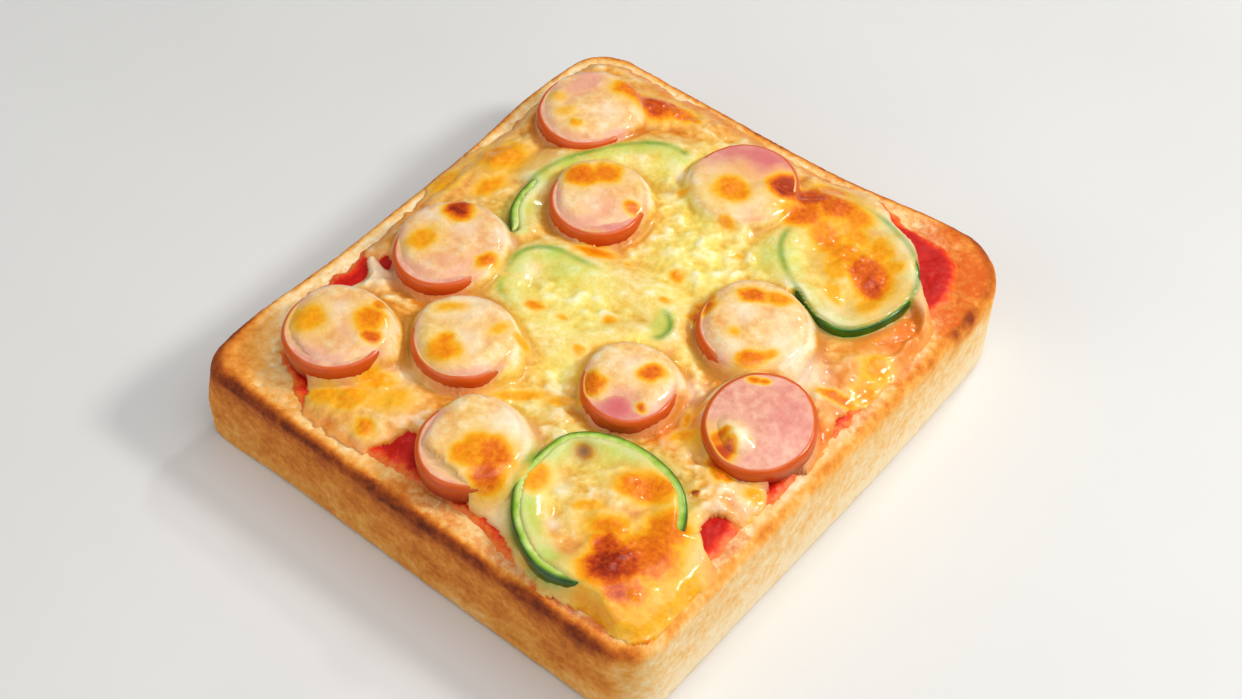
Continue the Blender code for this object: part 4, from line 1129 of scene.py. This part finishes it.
# %% Coat and mounds
# x, y, radius and height in mm. Most of them are in the solid too.
MOUNDS = (
    (-4, -7, 11, 2), (-14, -9, 6, 0.8), (8, 22, 12, 1.4), (-4, 26, 9, 1.2), (34, 37, 12, 1.8),
    (38.5, 37.5, 5.5, 0.8), (19, 49.5, 6.5, 2.2), (15, 45, 5, 1.2), (32, -43, 11, 2), (43, -54, 7, 1.8),
    (33, -37, 5, 0.7), (-32.5, 51.5, 6.5, 1.6), (-47.5, 14.5, 6, 1.4), (19, -2, 4.4, 2),
    (-26, -57.5, 8, 0.8), (45, -22.5, 5, 1.4), (53, 15, 7, 0.8), (54, -50, 7, 1.2), (-52, 34, 5, 0.8),
    (10, -33, 6, 0.8), (-22, 54, 6, 1), (-14, 34.6, 5, 1.1),
)
LUMP_SIZE, LUMP_RADIUS = 5.4, 3.2
EDGE_WIDTH, EDGE_POWER, EDGE_DROP = 8.0, 0.8, 1.2
# How far the cheese climbs a round, how much less on its bare side, and how far out, in mm
CLIMB, BARE_DROP, CLIMB_REACH = 1.2, 1.9, 2.4
# Where the cheese is thickest and most lumpy: x, y, radius in mm and how clearly
MIDDLE = ((-5, -6, 16, 1), (7, 20, 15, 1), (22, 30, 10, 1))
BUBBLE_PLACE, BUBBLE_SIZE, BUBBLE_HEIGHT = (52, -53, 14), 2.4, 1.5
browning, rise = browned_by_spots(*grid)
floor_height = np.maximum(sauce_height(*grid)[0], SLICE_THICKNESS)
coat = COAT_THICKNESS + 0.45 * wander(9.0, 111, layers=3) + 0.20 * wander(2.8, 112, layers=3)
lump_x, lump_y = grid_x + wander(4.0, 113), grid_y + wander(4.0, 114)
lumps = 1 - np.clip(cell_distance(lump_x, lump_y, 0 * grid_x, LUMP_SIZE, 115) / LUMP_RADIUS, 0, 1) ** 2
middle = np.clip(add_humps(0, MIDDLE, *grid), 0, 1)
coat = coat + soften(lumps * (0.35 + 0.35 * middle), 2)
coat = add_humps(coat, MOUNDS, *grid)
for entry in rounds.values():
    from_rim = (round_reach(entry, *grid) - 1) * entry["radius"]
    climb = CLIMB - BARE_DROP * bareness(entry, *grid)
    coat = coat + climb * np.exp(-(from_rim / CLIMB_REACH) ** 2)
bubbles = ramp(cell_distance(*grid, 0 * grid_x, BUBBLE_SIZE, 117), 1.7, 0.1) * hump(*grid, *BUBBLE_PLACE)
coat = coat + shreds + rise + BUBBLE_HEIGHT * bubbles
edge = np.clip(inside / EDGE_WIDTH, 0, 1) ** EDGE_POWER
top = floor_height + coat * edge - EDGE_DROP * ramp(inside, 0.15, -0.4)
print("thickest coat, mm:", round(float(coat.max()), 1))

# %% [markdown]
# Over the pepper the cheese is a film that sags between the band and the coat. It is missing
# where the front ring and the back one lie bare, and on the right ring it covers the flesh and
# stops at the skin. Green shines through it, strongest just above the band.

# %% Film over the pepper
# Where the pepper shows out of the cheese: x, y, radius in mm and how clearly
PEPPER_SHOWS = (
    (14.5, -50, 7, 1), (15, -41, 6, 1), (19, -32, 6, 1), (28, -28.8, 6, 1), (38, -29, 6, 0.9),
    (46.6, -35, 5.6, 0.6), (19, -58, 6, 1), (27, -63, 4.5, 1), (-36.4, 8, 5.5, 1), (-33.4, 2.6, 5, 1),
)
# Where the film covers the cut face and only the skin shows: x, y, radius in mm and how clearly
SKIN_SHOWS = (
    (49, 33, 4.6, 1), (48, 28, 5, 1), (43.5, 22, 6, 1), (36.5, 21, 5, 1), (31.5, 23, 3, 1),
)
# Where the centre ring lies close enough under the film to be seen: x, y, radius in mm and how clearly
CENTRE_SEEN = ((-21, -4, 13, 1), (15, -0.4, 5, 1))
# How strongly and how far each ring shines through, from the middle of its band in mm
GREEN_REACH = {
    "pepper_front": (1.0, 6.2, 2.4), "pepper_right": (0.6, 4.4, 1.0), "pepper_centre": (1.0, 5.2, 0.6),
    "pepper_back": (1.0, 4.6, 0.6),
}
BAND_TO_SKIN, SKIN_LINE_WIDTH = 0.35, 0.75
# Film over the band, how much lower it is where the pepper is bare, and its rise on the flesh side, in mm
PEPPER_FILM, BARE_DEPTH, FLESH_RISE, PEPPER_BLEND = 0.45, 1.9, 1.65, 0.8


def join_smoothly(a, b, blend_mm):
    """The higher of two heights, rounded where they meet."""
    overlap = np.clip(0.5 + 0.5 * (a - b) / blend_mm, 0, 1)
    return a * overlap + b * (1 - overlap) + blend_mm * overlap * (1 - overlap)


def distance_to_path(path):
    """Distance in mm from each place of the grid to the nearest point of a path."""
    nearest = np.full(grid_x.shape, 1e9)
    for point in path:
        nearest = np.minimum(nearest, (grid_x - point[0]) ** 2 + (grid_y - point[1]) ** 2)
    return np.sqrt(nearest)


over_pepper, over_skin = 0 * grid_x, 0 * grid_x
shows = strongest(PEPPER_SHOWS, *grid)
bare = ramp(shows, 0.15, 0.65)
pepper_cover = PEPPER_FILM - BARE_DEPTH * bare + 0.25 * wander(5.0, 121)
skin_shows = ramp(strongest(SKIN_SHOWS, *grid), 0.1, 0.5)
for name, (closed, _) in PEPPER_LOOPS.items():
    loop, side = loops[name], sideways(loops[name], closed)
    distance = distance_to_path(loop + side * PEPPER_WALL / 2)
    from_skin, from_pith = distance_to_path(loop), distance_to_path(loop + side * PEPPER_WALL)
    past_skin = (from_pith ** 2 - from_skin ** 2) / (2 * PEPPER_WALL) - PEPPER_WALL / 2
    seen = ramp(strongest(CENTRE_SEEN, *grid), 0.15, 0.55) if name == "pepper_centre" else 1.0
    from_line = distance_to_path(loop + side * BAND_TO_SKIN)
    over_skin = np.maximum(over_skin, seen * np.exp(-(from_line / SKIN_LINE_WIDTH) ** 2))
    # Above the band the coat is pressed down to the film, and beside it the film drapes to the coat
    on_band = ramp(distance, 2.1, 1.0)
    flesh_side = ramp(past_skin, -0.9, -2.1)
    limit = PEPPER_TOP + pepper_cover + FLESH_RISE * bare * flesh_side
    top = np.where(on_band > 0, np.minimum(top, top * (1 - on_band) + limit * on_band), top)
    steepness = 0.14 + 0.36 * ramp(shows, 0.1, 0.5) * (1 - flesh_side)
    drape = limit - steepness * np.clip(distance - 1.0, 0, None) ** 1.5
    drape = drape - 3.0 * ramp(pepper_cover, 0.2, -0.6) * (1 - flesh_side)
    bared_wall = skin_shows * ramp(past_skin, -0.8, 0.2)
    drape = drape - 5.0 * ramp(inside, 2.5, -0.5) - 6.0 * bared_wall
    too_high = np.clip(top - PEPPER_BASE - 1.6, 0, None)
    lowered = top - too_high * bared_wall * ramp(past_skin, 6.0, 2.0)
    top = join_smoothly(lowered, drape, PEPPER_BLEND)
    strength, far, near = GREEN_REACH[name]
    on_flesh_side = 0.35 + 0.65 * ramp(past_skin, 1.2, -0.6)
    over_pepper = np.maximum(over_pepper, seen * strength * ramp(distance, far, near) * on_flesh_side)
print("share of the grid over pepper:", round(float((over_pepper > 0.5).mean()), 2))

# %% [markdown]
# Over a round the film follows the cut face and falls off past the rim, so that it stands up
# from the coat like a cap. It stays under the highest point of the solids.

# %% Film over the rounds
HEADROOM = 0.05
UNDER_FACE, ROUND_BLEND = 0.8, 0.35
FALL, FALL_START, FALL_POWER = 1.1, 0.985, 1.35
NO_ROUND = 9.0
over_round = 0 * grid_x
film = np.full(grid_x.shape, NO_ROUND)
for entry in rounds.values():
    reach = round_reach(entry, *grid)
    film_here = film_thickness(entry, *grid)
    rind = round_top(entry, *grid)
    drop = FALL * np.clip((reach - FALL_START) * entry["radius"], 0, None) ** FALL_POWER
    drape = rind + film_here - drop - 3.0 * bareness(entry, *grid) * ramp(reach, 0.96, 1.02)
    top = np.where(reach < 1.0, np.minimum(top, rind - UNDER_FACE), top)
    top = join_smoothly(top, np.where(reach < 1.35, drape, top - 1), ROUND_BLEND)
    over_round = np.maximum(over_round, ramp(reach, 1.03, 0.97))
    film = np.where(reach < 1.1, np.minimum(film, film_here), film)
top = np.minimum(top + rise * over_round * 0.8, cad_high.z / MM - HEADROOM)
print("cheese from", round(float(top.min()), 1), "to", round(float(top.max()), 1), "mm")

# %% [markdown]
# The colour of melted cheese is mostly a matter of depth. Thick cheese is cream to butter
# yellow. A thin film shows what is under it: rose over sausage, orange over sauce, green over
# pepper. Those depths become values on the points, next to the browning and the shreds.

# %% Where the cheese is yellow, milky with painted highlights, golden or clear
# x, y, radius in mm and strength of the butter yellow middle
YELLOW_PLACES = (
    (-6, -8, 14, 1), (6, 18, 13, 0.95), (-2, 30, 9, 0.9), (20, 30, 9, 0.8), (8, 6, 8, 0.8),
    (34, 30, 8, 0.55), (24, -50, 7, 0.5), (28, -38, 6, 0.5), (-10, 45, 9, 0.6), (-26, 29, 6, 0.5),
    (-20, -37, 9, 0.6), (34, 9, 6, 0.35), (2, -46, 6, 0.4), (2, -34, 8, 0.6), (-5, -32, 6, 0.6),
    (3, -23, 7, 0.85), (12, -8, 6, 0.75), (22, -4, 5, 0.4), (-7, 33, 8, 0.8), (4, 31, 7, 0.8),
    (2, 42, 7, 0.5), (-15, 36, 6.5, 0.9), (-14, 27, 5, 0.6),
)
# x, y, radius in mm and strength of the places painted milky white: partly thick, milky cheese, partly
# painted highlights and sheen
MILKY_AND_HIGHLIGHT_PLACES = (
    (-35.3, 13.4, 2.2, 0.8), (-28.4, -5.4, 2.2, 0.9), (-20, -7.4, 2.8, 0.7), (-11.5, 4, 2, 0.4),
    (33, 53.4, 3.2, 0.8), (39.4, 49.4, 3.2, 0.8), (46.4, 44.4, 3, 0.7), (44.4, -17.4, 3, 1),
    (23.4, -46.4, 1.8, 0.6), (27.6, -54, 1.6, 0.7), (-46, -27, 4, 0.8), (53.4, -23.2, 4, 0.6),
    (8, -44, 4.4, 0.8), (31, -60.5, 2.4, 0.6), (17.4, -59.4, 4, 0.6), (-14, -33.6, 3.6, 0.7),
    (-21, -44.6, 2.4, 0.5), (26, 10, 2.8, 0.7), (36.4, 8.4, 3.2, 0.7), (30, 1, 2.6, 0.6),
    (17.4, -16.6, 2.8, 0.7), (-20, 13.6, 2.8, 0.5), (-24, 20.6, 1.1, 0.8), (-36, 39, 3.6, 0.5),
    (-36, -9, 2.8, 0.6), (-44.4, -11, 2, 0.7), (-40.6, -44, 2.2, 0.7), (6, 35.6, 3.4, 0.6),
    (-4.4, 41.4, 3, 0.4), (12, 51.6, 1.2, 0.7), (41.6, 39, 1.2, 0.7), (-31, 0, 2, 0.5),
    (46, -58, 1.6, 0.5), (56, -46, 3, 0.5), (-6, -46, 2.4, 0.5), (-12.6, 36.6, 1.6, 0.7),
    (-10.4, 30.6, 1.6, 0.6), (-20, -26, 4.5, 0.7), (-22, -30, 3, 0.3), (50, -61.6, 3, 0.35),
    (55.4, -55, 2, 0.45), (52.6, -64, 2, 0.3), (36, -61.6, 3, 0.3), (53.6, -43, 2.2, 0.5),
    (51.6, -46.6, 1.2, 0.5), (34, 12, 4, 0.4), (44, 8, 5, 0.7), (28, -10, 3, 0.5), (38, 24.6, 4, 0.5),
    (46, 32, 3, 0.5),
)
# x, y, radius in mm and strength of the places where the cheese dried to gold
GOLDEN_PLACES = (
    (-50, 14, 9, 1), (-54, 2, 8, 0.8), (-46, 20, 6, 0.7), (-26, 54, 12, 1), (-29, -55, 12, 0.8),
    (-22, -47, 9, 0.5), (-52, 36, 6, 0.3), (20, 48, 11, 0.7), (38, 40, 8, 0.6), (54, 16, 8, 0.9),
    (50, 26, 8, 0.8), (46, -44, 10, 1), (38, -56, 9, 0.7), (54, -56, 10, 1), (36, -37, 6, 0.7),
    (26, -62, 7, 0.4), (58, -44, 7, 0.9), (-12, 6, 5, 0.5), (52, -4, 7, 0.7), (4, -34, 7, 0.4),
    (30, 44, 12, 0.9), (40, 34, 8, 0.8), (-40, -20, 7, 0.3), (16, 56, 9, 0.6), (50, 36, 6, 0.6),
    (0, 56, 10, 0.4), (16, -8, 6, 0.3), (-44, -28, 5, 0.3), (-8, -44, 5, 0.3), (12, 58, 8, 0.5),
)
# x, y, radius in mm and strength of the places where the sauce glows through thin cheese
CLEAR_PLACES = (
    (52, 33, 8, 0.9), (54, 25, 8, 0.85), (53, 15, 5.5, 0.75), (53.6, 7, 4.4, 0.7), (55, -2, 5, 0.75),
    (53, -12, 5, 0.7), (35, -17.5, 4, 0.85), (31, -22, 4, 0.6), (46, 52, 6, 0.5), (-38, -48, 7, 0.35),
    (-34, -52, 7, 0.3), (-14, -50, 6, 0.4), (12, -60, 5, 0.3), (52, -30, 5, 0.4), (36, -65, 8, 0.4),
    (-46, -22, 6, 0.4), (30.5, -14, 3, 0.3), (24, -30, 4, 0.3),
)
# x, y, radius in mm and strength of the places where pepper lies under clear cheese
GREEN_PLACES = (
    (-34, 6, 6, 0.9), (-36, 13, 4, 0.7), (-20, -12, 5, 0.6), (-14.3, -2.2, 4.4, 0.8), (20, 31, 6, 0.6),
    (13.4, 1.4, 2, 0.7), (14.8, -3, 2, 0.7), (-27, 32, 6, 0.4), (-21, 36, 6, 0.35), (19, -37, 5, 0.7),
    (27, -33, 5, 0.7), (44, 27, 5, 0.3), (36, -33, 4, 0.5), (19, -48, 4, 0.5),
)
# x, y, radius in mm and strength of the pits, painted dark as the shade that falls in them
SHADED_PITS = ((21.3, -37, 2.1, 1), (44.2, -30.2, 0.8, 1))
# How thick the cheese is, in mm, where it hides most of what is under it
SAUCE_DEPTH, ROSE_DEPTH, GREEN_DEPTH = 0.6, 0.35, 0.9
milky = strongest(MILKY_AND_HIGHLIGHT_PLACES, *grid)
yellow = np.clip(strongest(YELLOW_PLACES, *grid) * 1.25 + 0.15 * wander(6.0, 131), 0, 1)
golden = strongest(GOLDEN_PLACES, *grid) * 1.15 + 0.15 + 0.3 * wander(7.0, 133, layers=3)
golden = np.clip(golden, 0, 1) * (1 - yellow)
over_sauce = np.clip(np.exp(-(top - floor_height) / SAUCE_DEPTH), 0, 1)
over_sauce = np.maximum(over_sauce, strongest(CLEAR_PLACES, *grid)) * (1 - over_round)
on_crumb = over_sauce * ramp(sauce_height(*grid)[1], 0.8, -0.8)
rose = over_round * np.exp(-np.clip(film, 0, None) / ROSE_DEPTH) * (0.75 + 0.6 * wander(6.0, 137))
green = over_pepper * np.exp(-np.clip(top - PEPPER_TOP - 0.3, 0, None) / GREEN_DEPTH)
green = np.maximum(green, strongest(GREEN_PLACES, *grid))
green = green * (1 - over_round) * (0.8 + 0.35 * wander(4.0, 135))
skin_line = over_skin * (1 - over_round) * ramp(wander(9.0, 136), -0.9, 0.1)
skin_line = np.maximum(skin_line, 1.25 * over_skin * hump(*grid, *CENTRE_SEEN[1][:3]))
casing_line = 0 * grid_x
for entry in rounds.values():
    from_rim = (round_reach(entry, *grid) - 0.965) * entry["radius"]
    line_here = np.exp(-(from_rim / 0.45) ** 2) * (0.3 + 0.7 * bareness(entry, *grid))
    casing_line = np.maximum(casing_line, line_here)
# The relief is how far a place stands out of the softened sheet: 0 in hollows and 1 on lumps.
# In the colour it is painted shade in the hollows and painted light on the lumps.
hollow = top - soften(top, 10)
relief = hollow * ramp(inside, 1, 6) * (1 - 0.7 * over_round) * (1 - 0.3 * yellow)
speckle = ramp(cell_distance(*grid, 0 * grid_x, 4.6, 141), 0.8, 0.2) * (wander(9.0, 142) > 0.1)
cheese_values = {
    "browning": np.maximum(browning, 0.40 * speckle * (1 - 0.5 * yellow)), "yellow": yellow,
    "golden": golden, "over_sauce": over_sauce, "rose": np.clip(rose, 0, 1), "green": green,
    "skin_line": skin_line, "casing_line": casing_line, "relief": np.clip(0.5 + relief, 0, 1),
    "over_round": over_round * (1 - 0.6 * yellow), "on_crumb": on_crumb, "milky": milky,
    "pit": strongest(SHADED_PITS, *grid),
}
print("values on the cheese:", sorted(cheese_values))

# %% [markdown]
# The grid is cut where no cheese lies. What is kept becomes the top of a closed sheet, with the
# same points again just below the crumb, and a wall round every edge.

# %% Faces of the cheese
SHEET_BASE = SLICE_THICKNESS - 0.9
LOWEST_KEPT, FURTHEST_KEPT = -0.75, -1.2
kept = (top > floor_height + LOWEST_KEPT) & (inside > FURTHEST_KEPT)
quads = kept[:-1, :-1] & kept[1:, :-1] & kept[:-1, 1:] & kept[1:, 1:]
used = np.zeros(grid_x.shape, bool)
for down, over in np.ndindex(2, 2):
    used[down:used.shape[0] - 1 + down, over:used.shape[1] - 1 + over] |= quads
count = int(used.sum())
number_of = np.full(grid_x.shape, -1)
number_of[used] = np.arange(count)
heights = (top[used], np.full(count, SHEET_BASE))
upper, lower = (np.stack([grid_x[used], grid_y[used], z], 1) for z in heights)
corners = (number_of[:-1, :-1], number_of[:-1, 1:], number_of[1:, 1:], number_of[1:, :-1])
top_faces = np.stack([corner[quads] for corner in corners], 1)
base_faces = top_faces[:, ::-1] + count
edges = np.concatenate([top_faces[:, [k, (k + 1) % 4]] for k in range(4)])
keys, keys_turned = edges @ (count, 1), edges @ (1, count)
rim = edges[~np.isin(keys, keys_turned)]
wall_faces = np.stack([rim[:, 1], rim[:, 0], rim[:, 0] + count, rim[:, 1] + count], 1)
cheese_faces = [tuple(face) for face in np.concatenate([top_faces, base_faces, wall_faces]).tolist()]
cheese_values = {label: np.tile(numbers[used], 2) for label, numbers in cheese_values.items()}
print("points on top of the cheese:", count)

# %% [markdown]
# Melted cheese is protein and fat: translucent, so light scatters in it for about two
# millimetres, with an oily gloss on top and an IOR near 1.45. Browned skin is drier and darker,
# and its blisters still shine.

# %% Melted cheese
MOTTLE_MM, BROWN_GRAIN_MM = 3.0, 1.2
# Stops from the hollows, darker as painted shade, to the top of the lumps, paler as painted light
CREAM_STOPS = [(0.1, "#DA8E2C"), (0.32, "#EDB24C"), (0.54, "#F5D080"), (0.8, "#FEEFC8")]
BUTTER_STOPS = [(0.1, "#ECC44C"), (0.32, "#F3DA6A"), (0.54, "#F8E88E"), (0.8, "#FEF6D0")]
GOLD_STOPS = [(0.1, "#CC6004"), (0.32, "#E28008"), (0.54, "#EE9A16"), (0.8, "#F7B844")]
FILM_STOPS = [(0.22, "#EEA850"), (0.5, "#F8CC82"), (0.75, "#FDE8BC")]
# Value on the points, its strength and the colour that it lays over the rest
TINTS = (
    # The first tint is milky cheese with painted highlights and sheen
    ("milky", 0.85, "#FCF3DC"), ("over_sauce", 0.9, "#E86E10"), ("on_crumb", 0.9, "#F0A650"),
    ("rose", 0.85, "#EFA994"), ("green", 0.75, "#B8D65C"), ("skin_line", 0.75, "#4E8A16"),
    ("casing_line", 0.75, "#D9702A"),
)
cheese, tree, shader = new_material("melted_cheese")
values = {label: carried(tree, label) for label in cheese_values}
mottle = grain(tree, MOTTLE_MM, detail=5.0, roughness=0.65)
# Painted shade in the hollows and painted light on the lumps, mixed with a real mottle of tone
relief_light_and_mottle = calculate(tree, "MULTIPLY_ADD", mottle, 1.3, values["relief"])
relief_light_and_mottle = calculate(tree, "SUBTRACT", relief_light_and_mottle, 0.70)
tone = colours(tree, relief_light_and_mottle, CREAM_STOPS)
for label, stops in (("golden", GOLD_STOPS), ("yellow", BUTTER_STOPS), ("over_round", FILM_STOPS)):
    tone = lay_over(tree, values[label], tone, colours(tree, relief_light_and_mottle, stops))
for label, strength, hex_colour in TINTS:
    tone = lay_over(tree, calculate(tree, "MULTIPLY", values[label], strength), tone, hex_colour)
brown_grain = grain(tree, BROWN_GRAIN_MM, detail=4.0, roughness=0.65)
brown, brown_shift = values["browning"], swing(tree, brown_grain, 0.14)
brown_tone = colours(tree, calculate(tree, "MULTIPLY_ADD", brown_shift, brown, brown), BROWN_STOPS)
tone = lay_over(tree, rescale(tree, brown, (0.02, 0.40)), tone, brown_tone)
skin_bump = bump(tree, mottle, strength=0.35, depth_mm=0.6)
set_inputs(tree, shader, {
    # Painted shade in the pits
    "Base Color": lay_over(tree, values["pit"], tone, "#7C4A08"),
    "Normal": bump(tree, brown_grain, strength=0.6, depth_mm=0.35, Normal=skin_bump),
    "Roughness": 0.36, "IOR": 1.45, "Specular IOR Level": 0.28, "Coat Weight": 0.4, "Coat Roughness": 0.11,
    "Subsurface Weight": 0.18, "Subsurface Radius": (1.0, 0.65, 0.25), "Subsurface Scale": 1.5 * MM,
})
make_piece("cheese_sheet", np.concatenate([upper, lower]), cheese_faces, cheese_values,
           cheese, ["cheese"])
